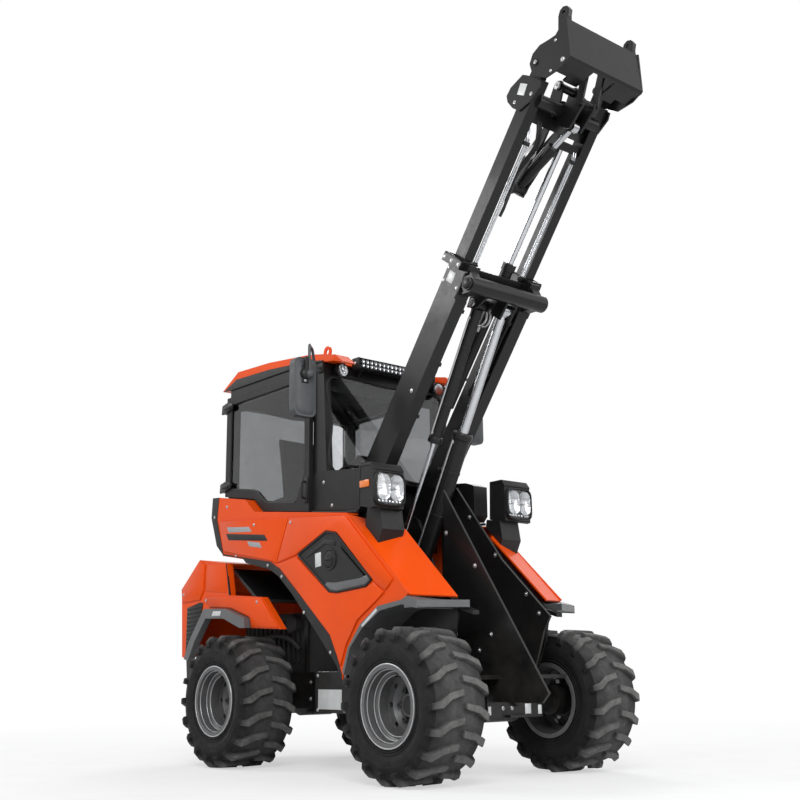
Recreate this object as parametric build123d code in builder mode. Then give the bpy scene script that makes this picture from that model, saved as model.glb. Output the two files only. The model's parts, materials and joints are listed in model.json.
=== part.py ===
from build123d import *
import os
from math import atan2, cos, degrees, hypot, radians, sin

os.makedirs("parts", exist_ok=True)

# Articulated compact wheel loader with a telescopic twin-arm boom, in millimetres.
# X points forward, Y to the left, Z up. Heights are above the ground.
# Lengths along X are given from the front axle and set in place by the planes below.

# ---------------------------------------------------------------- running gear
axle_x = 675.0            # front axle ahead of the middle of the machine's length
wheelbase = 1654.0
track = 1184.0            # between the middle planes of the tyres
tyre_r = 394.0            # over the lugs
tyre_w = 389.0
lug_h = 24.0
lugs_per_side = 18
rim_seat_r = 192.0        # bead seat inside the tyre
rim_flange_r = 208.0
rim_outer = 172.0         # rim edge outboard of the tyre's middle plane
rim_t = 8.0
hub_r = 92.0
hub_gap = 0.3             # between a wheel disc and its axle flange
articulation_x = -827.0   # steering hinge behind the front axle
half_track = track / 2

# ---------------------------------------------------------------- front frame
wall_y = 345.0            # inner face of the side walls that flank the boom channel
wall_t = 12.0
floor_z = 316.0           # underside of the front frame
deck_z = 517.0
beam_front = 150.0        # front beam ahead of the axle
tower_y = 142.0           # inner face of the boom tower plates
tower_t = 22.0
nose_y = 170.0            # outer face of the nose plates
nose_t = 15.0
cab_floor = 1310.0        # underside of the cab

# ---------------------------------------------------------------- boom
boom_x = -884.0           # boom pivot
boom_z = 1450.0
boom_deg = 53.6           # boom above the horizontal as it stands
arm_y = 252.0             # arm's middle plane from the centre line
arm_w = 84.0
arm_top = 104.0           # outer arm's upper and lower faces, square to the boom's line
arm_low = -73.0
arm_wall = 8.0
slide_gap = 0.4           # around the inner arms
inner_perp = 50.0         # middle of the inner arm, square to the boom's line
inner_d = 90.0
outer_len = 1712.0        # pivot to the mouth of the collars
collar_len = 48.0
collar_lap = 40.0         # collar beyond the inner arm on each side
cross_along = outer_len - 92.0   # cross tube on the outer boom
cross_perp = -128.0
cross_r = 50.0
cross_half = 305.0
inner_len = 1560.0        # length of the inner arms
inner_top = 2790.0        # their upper ends
head_along = 2863.0       # tool carrier pivot
head_perp = 75.0
pin_r = 22.0
pin_gap = 0.05            # radial running clearance on pins

lift_foot = (-774.0, 980.0)      # lift cylinder, lower pin
lift_eye = (cross_along - 103.0, -104.0)   # its rod's eye, in boom coordinates
lift_y = 55.0
lift_r = 55.0
lift_rod_r = 27.0
lift_barrel_len = 1085.0
level_foot = (-680.0, 1320.0)    # levelling cylinder, rod's eye on the tower
level_head = (cross_along - 120.0, -30.0)  # its barrel's pin, in boom coordinates
level_y = -75.0
level_r = 35.0
level_rod_r = 14.0
level_barrel_len = 860.0
tilt_foot = (2190.0, 150.0)      # tilt cylinder, barrel end
lever_at = (2680.0, 20.0)        # tilt lever's tube, all in boom coordinates
tilt_eye = (2625.0, -82.0)
link_low = (2770.0, -110.0)
tilt_r = 32.0
tilt_rod_r = 16.0
tilt_barrel_len = 330.0
lobe_t = 11.0             # lobed plates outside the inner arms' ends
gusset_y = 64.0
gusset_boss = (2800.0, 88.0)
hook_hole_r = 11.0
reach_y = 100.0           # telescope cylinder, between the arms
reach_perp = 50.0
reach_r = 36.0
reach_rod_r = 18.0
reach_foot = 820.0
reach_gland = outer_len + 58.0
reach_end = 2485.0        # rod's end on the inner boom's cross member
reach_piston = reach_gland - 170.0
wall_cyl = 7.0
lift_eye_w = 64.0
level_eye_w = 44.0        # rod's eye; the barrel's eye is as wide as the barrel
tilt_eye_w = 44.0
ear_gap = 1.0             # beside each eye
ear_t = 14.0

boom_c = cos(radians(boom_deg))
boom_s = sin(radians(boom_deg))
inner_w = arm_w - 2 * (arm_wall + slide_gap)
pocket_low = inner_perp - inner_d / 2 - slide_gap
pocket_top = inner_perp + inner_d / 2 + slide_gap


def side(y=0.0):
    """Vertical plane at y: local x is forward of the front axle, local y is height."""
    return Plane(origin=(axle_x, y, 0), x_dir=(1, 0, 0), z_dir=(0, -1, 0))


def level(z=0.0):
    """Horizontal plane at height z: local x is forward of the front axle, local y is Y."""
    return Plane(origin=(axle_x, 0, z))


def across(x=0.0):
    """Plane square to the length, x forward of the front axle: local x is Y, local y is height."""
    return Plane(origin=(axle_x + x, 0, 0), x_dir=(0, 1, 0), z_dir=(1, 0, 0))


def boom_side(y=0.0):
    """Side plane of the boom: local x runs along the arms from their pivot."""
    return Plane(
        origin=(axle_x + boom_x, y, boom_z), x_dir=(boom_c, 0, boom_s), z_dir=(0, -1, 0)
    )


def boom_xz(along, perp):
    """Boom coordinates to (x from the front axle, height)."""
    return (boom_x + along * boom_c - perp * boom_s, boom_z + along * boom_s + perp * boom_c)


def line_plane(start, end, y):
    """Side plane whose local x runs from start to end, both (x from the front axle, height)."""
    run, rise = end[0] - start[0], end[1] - start[1]
    return Plane(origin=(axle_x + start[0], y, start[1]), x_dir=(run, 0, rise), z_dir=(0, -1, 0))


def end_plane(start, end, y, along=0.0):
    """Plane square to the line from start to end, at a distance along it."""
    run, rise = end[0] - start[0], end[1] - start[1]
    long = hypot(run, rise)
    at = (axle_x + start[0] + run / long * along, y, start[1] + rise / long * along)
    return Plane(origin=at, x_dir=(0, 1, 0), z_dir=(run, 0, rise))


def barrel(start, end, y, radius, rod_radius, length, eye, width):
    """Cylinder barrel from its eye at start, closed at the foot, open at the gland."""
    line = line_plane(start, end, y)
    bore = radius - wall_cyl
    with BuildPart() as body:
        with BuildSketch(end_plane(start, end, y, eye - 6)):
            Circle(radius)
        extrude(amount=length - eye + 6)
        with BuildSketch(end_plane(start, end, y, length - 40)):
            Circle(radius + 5)
        extrude(amount=40)
        disc(line, (0, 0), eye, width)
        disc(line, (0, 0), pin_r + pin_gap, width + 2, Mode.SUBTRACT)
        with BuildSketch(end_plane(start, end, y, eye + 14)):
            Circle(bore)
        extrude(amount=length - eye - 14 - 30, mode=Mode.SUBTRACT)
        with BuildSketch(end_plane(start, end, y, length - 31)):
            Circle(rod_radius + pin_gap)
        extrude(amount=32, mode=Mode.SUBTRACT)
    return body


def rod(start, end, y, radius, rod_radius, length, eye, width):
    """Rod with its piston inside the barrel and its eye at end, given from the barrel's start."""
    run = hypot(end[0] - start[0], end[1] - start[1])
    line = line_plane(start, end, y)
    with BuildPart() as body:
        with BuildSketch(end_plane(start, end, y, length - 140)):
            Circle(rod_radius)
        extrude(amount=run - length + 140 - eye + 8)
        with BuildSketch(end_plane(start, end, y, length - 150)):
            Circle(radius - wall_cyl - pin_gap)
        extrude(amount=50)
        disc(line, (run, 0), eye, width)
    return body


def save(builder, name):
    builder.part.label = name
    export_step(builder.part, f"parts/{name}.step")


def plate(points, y_mid, thickness, plane=side, mode=Mode.ADD):
    """Flat plate with a straight-sided outline, in the builder that is open."""
    with BuildSketch(plane(y_mid)) as outline:
        with BuildLine():
            Polyline(*points, close=True)
        make_face()
    extrude(outline.sketch, amount=thickness / 2, both=True, mode=mode)


def mirrored_plate(points, y_mid, thickness, plane=side):
    plate(points, y_mid, thickness, plane)
    plate(points, -y_mid, thickness, plane)


def disc(plane, centre, radius, length, mode=Mode.ADD):
    """Cylinder square to a side plane, centred on it."""
    with BuildSketch(plane) as outline:
        with Locations(centre):
            Circle(radius)
    extrude(outline.sketch, amount=length / 2, both=True, mode=mode)


# ================================================================ wheels
carcass_r = tyre_r - lug_h
half_w = tyre_w / 2
wheel_plane = Plane(origin=(0, 0, 0), x_dir=(1, 0, 0), z_dir=(0, -1, 0))
profile_plane = Plane.YZ

with BuildPart() as lug_blank:
    with BuildSketch(Plane.XY.offset(rim_flange_r + 90)):
        with BuildLine():
            Polyline(
                (-16, -6), (14, -6), (34, -90), (72, -150), (74, -half_w - 4),
                (44, -half_w - 4), (38, -160), (2, -100), close=True,
            )
        make_face()
    extrude(amount=150)
    with BuildSketch(profile_plane):
        with BuildLine():
            Polyline(
                (8, tyre_r), (-half_w + 36, tyre_r - 2), (-half_w + 6, tyre_r - 30),
                (-half_w, tyre_r - 62), (-half_w + 22, tyre_r - 74),
                (-half_w + 46, carcass_r - 14), (8, carcass_r - 8), close=True,
            )
        make_face()
    revolve(axis=Axis.Y, revolution_arc=360, mode=Mode.INTERSECT)

with BuildPart() as tyre_blank:
    with BuildSketch(profile_plane):
        with BuildLine():
            Polyline(
                (-rim_outer + 14, rim_seat_r), (-rim_outer + 2, rim_flange_r + 6),
                (-half_w + 8, rim_flange_r + 62), (-half_w + 8, rim_flange_r + 92),
                (-half_w + 32, carcass_r - 14), (-70, carcass_r), (70, carcass_r),
                (half_w - 32, carcass_r - 14), (half_w - 8, rim_flange_r + 92),
                (half_w - 8, rim_flange_r + 62), (rim_outer - 2, rim_flange_r + 6),
                (rim_outer - 14, rim_seat_r), close=True,
            )
        make_face()
    revolve(axis=Axis.Y)
    lug_step = 360.0 / lugs_per_side
    near = [lug_blank.part.rotate(Axis.Y, k * lug_step) for k in range(lugs_per_side)]
    far = [lug.mirror(Plane.XZ).rotate(Axis.Y, lug_step / 2) for lug in near]
    add(near + far)

with BuildPart() as rim_blank:
    seat = rim_seat_r - 0.3
    with BuildSketch(profile_plane):
        with BuildLine():
            Polyline(
                (-rim_outer - 6, rim_flange_r), (-rim_outer, rim_flange_r),
                (-rim_outer + 13, seat), (-104, seat), (-90, seat - 26), (2, seat - 26),
                (18, seat), (rim_outer - 13, seat), (rim_outer, rim_flange_r),
                (rim_outer + 6, rim_flange_r), (rim_outer + 6, seat - rim_t),
                (24, seat - rim_t), (8, seat - 34), (-96, seat - 34), (-112, seat - rim_t),
                (-rim_outer - 6, seat - rim_t), close=True,
            )
        make_face()
    revolve(axis=Axis.Y)
    with BuildSketch(profile_plane):
        with BuildLine():
            Polyline(
                (-8, 0), (-8, 96), (-34, 120), (-34, seat - 30), (-24, seat - 30),
                (-24, 125), (2, 100), (2, 0), close=True,
            )
        make_face()
    revolve(axis=Axis.Y)
    with BuildSketch(wheel_plane.offset(-10)):
        with PolarLocations(138, 8):
            Circle(15)
    extrude(amount=60, mode=Mode.SUBTRACT)
    with BuildSketch(wheel_plane.offset(8)):
        Circle(58)
        with PolarLocations(80, 6):
            Circle(11)
    extrude(amount=22)

wheel_sites = (
    ("front_right", 0.0, -1),
    ("front_left", 0.0, 1),
    ("rear_right", -wheelbase, -1),
    ("rear_left", -wheelbase, 1),
)
for site, x, hand in wheel_sites:
    place = Location((axle_x + x, hand * half_track, tyre_r))
    for kind, blank in (("tyre", tyre_blank), ("rim", rim_blank)):
        piece = blank.part if hand < 0 else blank.part.mirror(Plane.XZ)
        with BuildPart() as wheel:
            add(piece.moved(place))
        save(wheel, f"{kind}_{site}")

# ================================================================ axles
flange_y = half_track - 2.0 - hub_gap
for name, x in (("front_axle", 0.0), ("rear_axle", -wheelbase)):
    with BuildPart() as axle:
        with BuildSketch(side(0)):
            with Locations((x, tyre_r)):
                Circle(52)
        extrude(amount=flange_y - 40, both=True)
        disc(side(0), (x, tyre_r), 105, 230)
        for hand in (-1, 1):
            disc(side(hand * (flange_y - 30)), (x, tyre_r), hub_r, 60)
            disc(side(hand * (flange_y - 110)), (x, tyre_r), 80, 110)
    save(axle, name)

# ================================================================ front chassis
yoke_r = 70.0
yoke_t = 25.0
yoke_top = 560.0          # underside of the upper ear
yoke_gap = 1.0
arm_side = 301.0          # ledges inside the walls stop short of the lowered arms
steer_pin_r = 30.0
beam_y = 210.0
with BuildPart() as front_chassis:
    # Side walls beside the boom channel.
    mirrored_plate(
        ((70, 912), (100, 860), (60, 700), (0, 570), (-100, deck_z), (-560, deck_z),
         (-700, 620), (-700, 1180), (-560, 1320), (-350, 1320)),
        wall_y + wall_t / 2, wall_t,
    )
    mirrored_plate(
        ((-350, 1320), (70, 912), (200, 870), (200, 848), (60, 890), (-365, 1303)),
        (arm_side + wall_y) / 2 + 1, wall_y - arm_side + 2,
    )
    # Deck that joins the walls, and the box beam that carries the axle.
    plate(((210, deck_z), (-560, deck_z), (-700, 620), (-700, 640), (-560, deck_z + 20),
           (210, deck_z + 20)), 0, 2 * wall_y + 1)
    plate(((beam_front, floor_z), (beam_front, 430), (90, deck_z), (-700, deck_z),
           (-700, floor_z)), 0, 2 * beam_y)
    # Yoke of the steering hinge.
    for z in (floor_z, yoke_top):
        with BuildSketch(level(z)):
            with Locations((articulation_x, 0)):
                Circle(yoke_r)
            with Locations(((articulation_x - 700) / 2, 0)):
                Rectangle(-700 - articulation_x, 2 * yoke_r)
        extrude(amount=yoke_t)
    with BuildSketch(level(floor_z)):
        with Locations((articulation_x, 0)):
            Circle(steer_pin_r)
    extrude(amount=yoke_top + yoke_t - floor_z)
    with BuildSketch(level(deck_z)):
        with Locations((-690, 0)):
            Rectangle(20, 2 * beam_y)
    extrude(amount=120)
    # Nose plates that stand ahead of the tower.
    plate(((-204, 1568), (548, 448), (500, 400), (140, 400), (-204, 500)),
          -nose_y + nose_t / 2, nose_t)
    plate(((-440, 1640), (-73, 1178), (282, 847), (232, 770), (140, 520), (-300, 520),
           (-575, 1000), (-575, 1640)), nose_y - nose_t / 2, nose_t)
    # Boom tower: two plates, the boom's shaft between and outside them.
    mirrored_plate(
        ((-960, 760), (-975, 1420), (-945, 1500), (-850, 1520), (-780, 1480), (-560, 1000),
         (-420, 520), (-700, 520)),
        tower_y + tower_t / 2, tower_t,
    )
    # Beams behind the tower that carry the cab.
    mirrored_plate(((-960, 1120), (-960, cab_floor), (-1500, cab_floor), (-1500, 1250)),
                   tower_y + tower_t / 2, 60)
    disc(side(0), (boom_x, boom_z), pin_r, 2 * (arm_y + arm_w / 2 + 16))
    # Pins of the lift cylinder's foot, between the tower plates.
    disc(side(0), lift_foot, pin_r, 2 * tower_y + 4)
    for y in (level_y - level_eye_w / 2 - 8, level_y + level_eye_w / 2 + 8):
        plate(((-745, 1330), (-745, 1270), (-700, 1180), (-640, 1180), (-640, 1350),
               (-700, 1370)), y, 14)
    stay_end = level_y + level_eye_w / 2 + 15
    disc(side((stay_end - tower_y) / 2), (-670, 1200), 20, stay_end + tower_y + 4)
    # Boxed steps below the doors.
    for hand in (-1, 1):
        plate(((-1040, 330), (-740, 330), (-740, 560), (-1040, 560)), hand * 417, 64)
        plate(((-760, 380), (-690, 380), (-690, 500), (-760, 500)),
              hand * (beam_y + 385) / 2, 385 - beam_y + 2)
    # Bore that seats the axle.
    disc(side(0), (0, tyre_r), 105.3, 230.6, Mode.SUBTRACT)
    disc(side(0), (0, tyre_r), 52.3, 2 * half_track, Mode.SUBTRACT)
save(front_chassis, "front_chassis")

# ================================================================ body panels
panel_y = 600.0
panel_t = 10.0
cab_y = 505.0
side_outline = (
    (-1930, 1690), (-1610, 1640), (-1500, 1550), (-550, 1442), (-21, 962), (-60, 930),
    (-260, 905), (-410, 815), (-520, 690), (-585, 520), (-700, 740), (-1220, 1160),
    (-1310, 1210), (-1860, 1300), (-1950, 1540),
)
slope_corners = ((-550, 598, 1430), (-21, 598, 962), (85, 345, 943), (-330, 345, 1350))


def slope_points(hand):
    """Corners of the sloping top of a front fender."""
    return [Vector(axle_x + x, hand * y, z) for x, y, z in slope_corners]


def slope_plane(hand):
    """Plane of the sloping top, facing up."""
    a, b, c, d = slope_points(hand)
    normal = (c - a).cross(d - b)
    return Plane(origin=(a + b + c + d) / 4, x_dir=b - a, z_dir=normal * (hand * -1))


def slope_outline(hand):
    plane = slope_plane(hand)
    corners = [plane.to_local_coords(p) for p in slope_points(hand)]
    return [(p.X, p.Y) for p in corners]


with BuildPart() as side_panels:
    for hand in (-1, 1):
        plate(side_outline, hand * (panel_y - panel_t / 2), panel_t)
        ledge = ((-1930, 1690), (-1610, 1640), (-1500, 1550), (-550, 1442), (-550, 1432),
                 (-1504, 1540), (-1614, 1630), (-1930, 1680))
        ledge_y0 = cab_y + 8
        plate(ledge, hand * (ledge_y0 + panel_y) / 2, panel_y - ledge_y0)
        with BuildSketch(slope_plane(hand)):
            with BuildLine():
                Polyline(*slope_outline(hand), close=True)
            make_face()
        extrude(amount=-panel_t)
save(side_panels, "side_panels")

lip_y = 615.0
with BuildPart() as front_fender_lips:
    for hand in (-1, 1):
        lip = ((-20.5, 947.6), (60, 925), (60, 880), (-60, 905), (-240, 880), (-390, 795),
               (-500, 690), (-555, 545), (-567, 566), (-519.6, 689.8), (-409.8, 814.7),
               (-259.9, 904.7), (-60, 929.6))
        plate(lip, hand * (lip_y + wall_y + wall_t) / 2, lip_y - wall_y - wall_t)
        plate(((-40, hand * 614), (60, hand * 614), (190, hand * 358), (0, hand * 358)), 905, 38,
              level)
save(front_fender_lips, "front_fender_lips")

with BuildPart() as side_vents:
    for hand in (-1, 1):
        plate(((-1008, 1238), (-735, 1348), (-640, 1330), (-322, 1053), (-370, 1020),
               (-627, 1002), (-700, 1010)), hand * (panel_y + 2.3), 4)
        disc(side(hand * (panel_y + 6)), (-700, 1190), 62, 8)
        disc(side(hand * (panel_y + 6)), (-700, 1190), 50, 30, Mode.SUBTRACT)
save(side_vents, "side_vents")

# ================================================================ cab
cab_rear = -1960.0
cab_front = -850.0
pillar_x = -1003.0        # rear edge of the front pillars
sill_z = 1735.0           # foot of the windscreen
cowl_in = 390.0           # inner faces of the grey cowls
post = 50.0
with BuildPart() as cab_frame:
    with BuildSketch(level(cab_floor)):
        with Locations(((cab_rear + pillar_x) / 2, 0)):
            Rectangle(pillar_x - cab_rear, 2 * cab_y)
    extrude(amount=30)
    for hand in (-1, 1):
        # Rear post, front post and roof rail.
        plate(((cab_rear, cab_floor), (cab_rear, 2438), (cab_rear + 55, 2438),
               (cab_rear + 55, cab_floor)), hand * (cab_y - post / 2), post)
        plate(((-870, sill_z), (-905, 2420), (pillar_x, 2420), (pillar_x, sill_z)),
              hand * (cab_y - post / 2), post)
        plate(((pillar_x, cab_floor), (pillar_x, sill_z + 60), (pillar_x - 50, sill_z),
               (pillar_x - 50, cab_floor)), hand * (cab_y - post / 2), post)
        plate(((cab_rear, 2438), (-1219, 2440), (-905, 2420), (-905, 2350), (cab_rear, 2330)),
              hand * (cab_y - post / 2), post)
        plate(((cab_rear, cab_floor), (pillar_x, cab_floor), (pillar_x, 1490),
               (-1500, 1540), (-1610, 1630), (cab_rear, 1680)), hand * (cab_y - post / 2), post)
    # Cross members and the low front wall.
    plate(((cab_rear, 2438), (cab_rear + 50, 2438), (cab_rear + 50, 2310),
           (cab_rear, 2310)), 0, 2 * cab_y)
    plate(((-905, 2420), (-955, 2419), (-955, 2340), (-905, 2340)), 0, 2 * cab_y)
    plate(((cab_rear, cab_floor), (cab_rear, 1700), (cab_rear + 30, 1700),
           (cab_rear + 30, cab_floor)), 0, 2 * cab_y)
    plate(((pillar_x - 30, cab_floor), (pillar_x - 30, sill_z), (pillar_x, sill_z),
           (pillar_x, cab_floor)), 0, 2 * cab_y - 2 * post + 2)
    plate(((pillar_x - 1, sill_z - 30), (-870, sill_z - 30), (-870, sill_z),
           (pillar_x - 1, sill_z)), 0, 2 * (cowl_in - 1))
save(cab_frame, "cab_frame")

with BuildPart() as cab_roof:
    plate(((-2067, 2450), (-1876, 2553), (-1500, 2540), (-1082, 2500), (-905, 2470),
           (-880, 2420.3), (-905, 2420.3), (-1219, 2440.3), (cab_rear, 2438.3)), 0, 1010)
    for hand in (-1, 1):
        plate(((-1000, 2488), (-784, 2442), (-712, 2381), (-800, 2405), (-903, 2421)),
              hand * 455, 100)
    for hand in (-1, 1):
        with BuildSketch(side(hand * 430)) as eye:
            with Locations((-960, 2508)):
                Circle(36)
                Circle(17, mode=Mode.SUBTRACT)
        extrude(eye.sketch, amount=6, both=True)
save(cab_roof, "cab_roof")

glass_t = 5.0
with BuildPart() as cab_glass:
    plate(((-876, sill_z + 0.3), (-871, sill_z + 0.3), (-906, 2339), (-911, 2339)), 0,
          2 * (cab_y - post) - 1)
    plate(((cab_rear + 20, 1700.3), (cab_rear + 25, 1700.3), (cab_rear + 25, 2309.7),
           (cab_rear + 20, 2309.7)), 0, 2 * (cab_y - post) - 1)
save(cab_glass, "cab_glass")

door_y = cab_y + 0.3
door_t = 30.0
door_outer = ((-1955, 1702), (-1955, 2376), (-1005, 2390), (-1005, 1502), (-1494, 1558),
              (-1604, 1648))
door_inner = ((-1905, 1750), (-1905, 2325), (-1052, 2338), (-1052, 1750), (-1140, 1570),
              (-1470, 1608), (-1580, 1698))
hinge_x = -1985.0
for hand, name in ((-1, "right"), (1, "left")):
    y = hand * (door_y + door_t / 2)
    with BuildPart() as door:
        plate(door_outer, y, door_t)
        plate(door_inner, y, door_t + 2, mode=Mode.SUBTRACT)
        for z in (1740, 2280):
            plate(((hinge_x, z), (hinge_x, z + 40), (-1940, z + 40), (-1940, z)), y, door_t)
            with BuildSketch(level(z)) as knuckle:
                with Locations((hinge_x, y)):
                    Circle(14)
            extrude(knuckle.sketch, amount=40)
    save(door, f"cab_door_{name}")
    with BuildPart() as door_glass:
        with BuildSketch(side(y)):
            with BuildLine():
                Polyline(*door_inner, close=True)
            make_face()
            offset(amount=-0.3, kind=Kind.INTERSECTION, mode=Mode.REPLACE)
        extrude(amount=glass_t / 2, both=True)
    save(door_glass, f"door_glass_{name}")

with BuildPart() as cab_cowl:
    for hand in (-1, 1):
        plate(((pillar_x + 0.5, 1512), (-560, 1465), (-527, 1500), (-527, 1686),
               (-600, 1712), (-860, sill_z - 0.3), (pillar_x + 0.5, sill_z - 0.3)),
              hand * (cowl_in + cab_y) / 2, cab_y - cowl_in)
save(cab_cowl, "cab_cowl")

with BuildPart() as seat:
    with BuildSketch(level(cab_floor + 30.3)):
        with Locations((-1500, 0)):
            Rectangle(360, 380)
    extrude(amount=180)
    with BuildSketch(level(cab_floor + 210)):
        with Locations((-1490, 0)):
            Rectangle(480, 480)
    extrude(amount=110)
    plate(((-1640, 1630), (-1730, 1630), (-1800, 2120), (-1720, 2120)), 0, 460)
save(seat, "seat")

with BuildPart() as steering_column:
    plate(((-1100, cab_floor + 30.3), (-1060, cab_floor + 30.3), (-1130, 1800),
           (-1170, 1800)), 0, 90)
    with BuildSketch(Plane(origin=(axle_x - 1155, 0, 1800), x_dir=(0, 1, 0),
                           z_dir=(-0.35, 0, 0.94))) as wheel_ring:
        Circle(180)
        Circle(155, mode=Mode.SUBTRACT)
        Rectangle(330, 40)
    extrude(wheel_ring.sketch, amount=22)
save(steering_column, "steering_column")

# ================================================================ lamps and mirrors
lamp_x = -276.0
lamp_y = 516.0
with BuildPart() as headlight_housings:
    for hand in (-1, 1):
        plate(((-400, 1460), (-300, 1440), (lamp_x, 1445), (lamp_x, 1650), (-300, 1690),
               (-400, 1690)), hand * lamp_y, 220)
        plate(((-440, 1380), (-420, 1462), (-310, 1445), (-290, 1330), (-330, 1250),
               (-440, 1250)), hand * 470, 160)
        with BuildSketch(slope_plane(hand).offset(0.3)):
            Rectangle(1600, 1200)
        extrude(amount=-500, mode=Mode.SUBTRACT)
save(headlight_housings, "headlight_housings")
with BuildPart() as headlight_lenses:
    for hand in (-1, 1):
        with BuildSketch(across(lamp_x)) as lens:
            with Locations((hand * lamp_y, 1550)):
                RectangleRounded(180, 150, 40)
        extrude(lens.sketch, amount=22)
save(headlight_lenses, "headlight_lenses")
mirror_y = 700.0
mirror_x = -820.0         # front of the mirror's back shell
mirror_z = 2215.0
with BuildPart() as mirrors:
    for hand in (-1, 1):
        with BuildSketch(across(mirror_x - 55)):
            with Locations((hand * mirror_y, mirror_z)):
                RectangleRounded(156, 358, 40)
        extrude(amount=55)
        ball = (axle_x + mirror_x + 24, hand * (mirror_y - 10), 2290)
        with Locations(ball):
            Sphere(30)
        with BuildLine() as stay:
            FilletPolyline(
                (axle_x - 925, hand * cab_y, 2385),
                (axle_x - 925, hand * (cab_y + 50), 2385),
                (axle_x - 890, hand * (cab_y + 95), 2475),
                (axle_x + mirror_x + 24, hand * (mirror_y - 10), 2475),
                ball, radius=20,
            )
        with BuildSketch(Plane(stay.line @ 0, z_dir=stay.line % 0)):
            Circle(9)
        sweep(path=stay.line)
save(mirrors, "mirrors")

with BuildPart() as light_bar:
    plate(((-855, 2393), (-800, 2393), (-800, 2458), (-855, 2458)), 0, 620)
    mirrored_plate(((-905, 2355), (-850, 2395), (-850, 2410), (-905, 2385)), 240, 8)
save(light_bar, "light_bar")

# ================================================================ rear frame
neck_y = 95.0
fin_y = 556.0             # inner faces of the hood's sides
with BuildPart() as rear_chassis:
    tongue_r = yoke_r
    with BuildSketch(level(floor_z + yoke_t + yoke_gap)):
        with Locations((articulation_x, 0)):
            Circle(tongue_r)
        with Locations((articulation_x - 150, 0)):
            Rectangle(300, 2 * tongue_r - 20)
        with Locations((articulation_x, 0)):
            Circle(steer_pin_r + pin_gap, mode=Mode.SUBTRACT)
    extrude(amount=yoke_top - floor_z - yoke_t - 2 * yoke_gap)
    # Neck that clears the steps on full lock, then the rails.
    plate(((-1110, 345), (-1110, 555), (-1330, 555), (-1330, 345)), 0, 2 * neck_y)
    plate(((-1300, 345), (-1340, 345), (-1340, 555), (-1300, 555)), 0, 480)
    for hand in (-1, 1):
        plate(((-1310, 340), (-1310, 560), (-2300, 560), (-2300, 340)), hand * 230, 40)
    plate(((-2300, 345), (-2270, 345), (-2270, 555), (-2300, 555)), 0, 480)
    # Uprights and the black cover over the engine, which carry the hood.
    mirrored_plate(((-1430, 540), (-1395, 540), (-1395, 995), (-1430, 995)), 240, 20)
    plate(((-1395, 985), (-1395, 1000), (-1500, 1010), (-1800, 1215), (-1800, 1195),
           (-1505, 988)), 0, 2 * fin_y)
    # Rear bumper.
    plate(((-2270, 390), (-2340, 390), (-2370, 649.7), (-2300, 649.7)), 0, 1100)
    disc(side(0), (-wheelbase, tyre_r), 105.3, 230.6, Mode.SUBTRACT)
    disc(side(0), (-wheelbase, tyre_r), 52.3, 2 * half_track, Mode.SUBTRACT)
save(rear_chassis, "rear_chassis")

with BuildPart() as engine_block:
    with BuildSketch(level(560)):
        with Locations((-1800, 0)):
            Rectangle(700, 440)
    extrude(amount=370)
save(engine_block, "engine_block")

hood_side = (
    (-2371, 1116), (-2340, 665), (-2248, 650), (-2178, 759), (-2000, 966), (-1745, 955),
    (-1524, 890), (-1510, 829), (-1185, 812), (-1394, 1012), (-1761, 1043), (-1806, 1250),
    (-2145, 1295),
)
hood_shell = (
    (-2340, 665), (-2371, 1116), (-2145, 1295), (-1806, 1250), (-1806, 1236), (-2140, 1280),
    (-2356, 1110), (-2325, 665),
)
with BuildPart() as rear_hood:
    for hand in (-1, 1):
        plate(hood_side, hand * (fin_y + panel_y) / 2, panel_y - fin_y)
    plate(hood_shell, 0, 2 * fin_y + 2)
save(rear_hood, "rear_hood")

with BuildPart() as rear_grilles:
    for hand in (-1, 1):
        plate(((-2283, 985), (-2288, 680), (-2262, 690), (-2112, 886), (-2085, 1008), (-2120, 1014)),
              hand * 602.3, 4)
save(rear_grilles, "rear_grilles")

with BuildPart() as rear_fender_lips:
    for hand in (-1, 1):
        plate(((-2235, 650), (-2178, 759), (-2000, 966), (-1745, 955), (-1524, 890),
               (-1510, 829), (-1565, 829), (-1760, 895), (-1975, 903), (-2105, 760),
               (-2180, 640)), hand * (panel_y + 24.3), 48)
save(rear_fender_lips, "rear_fender_lips")

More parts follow.
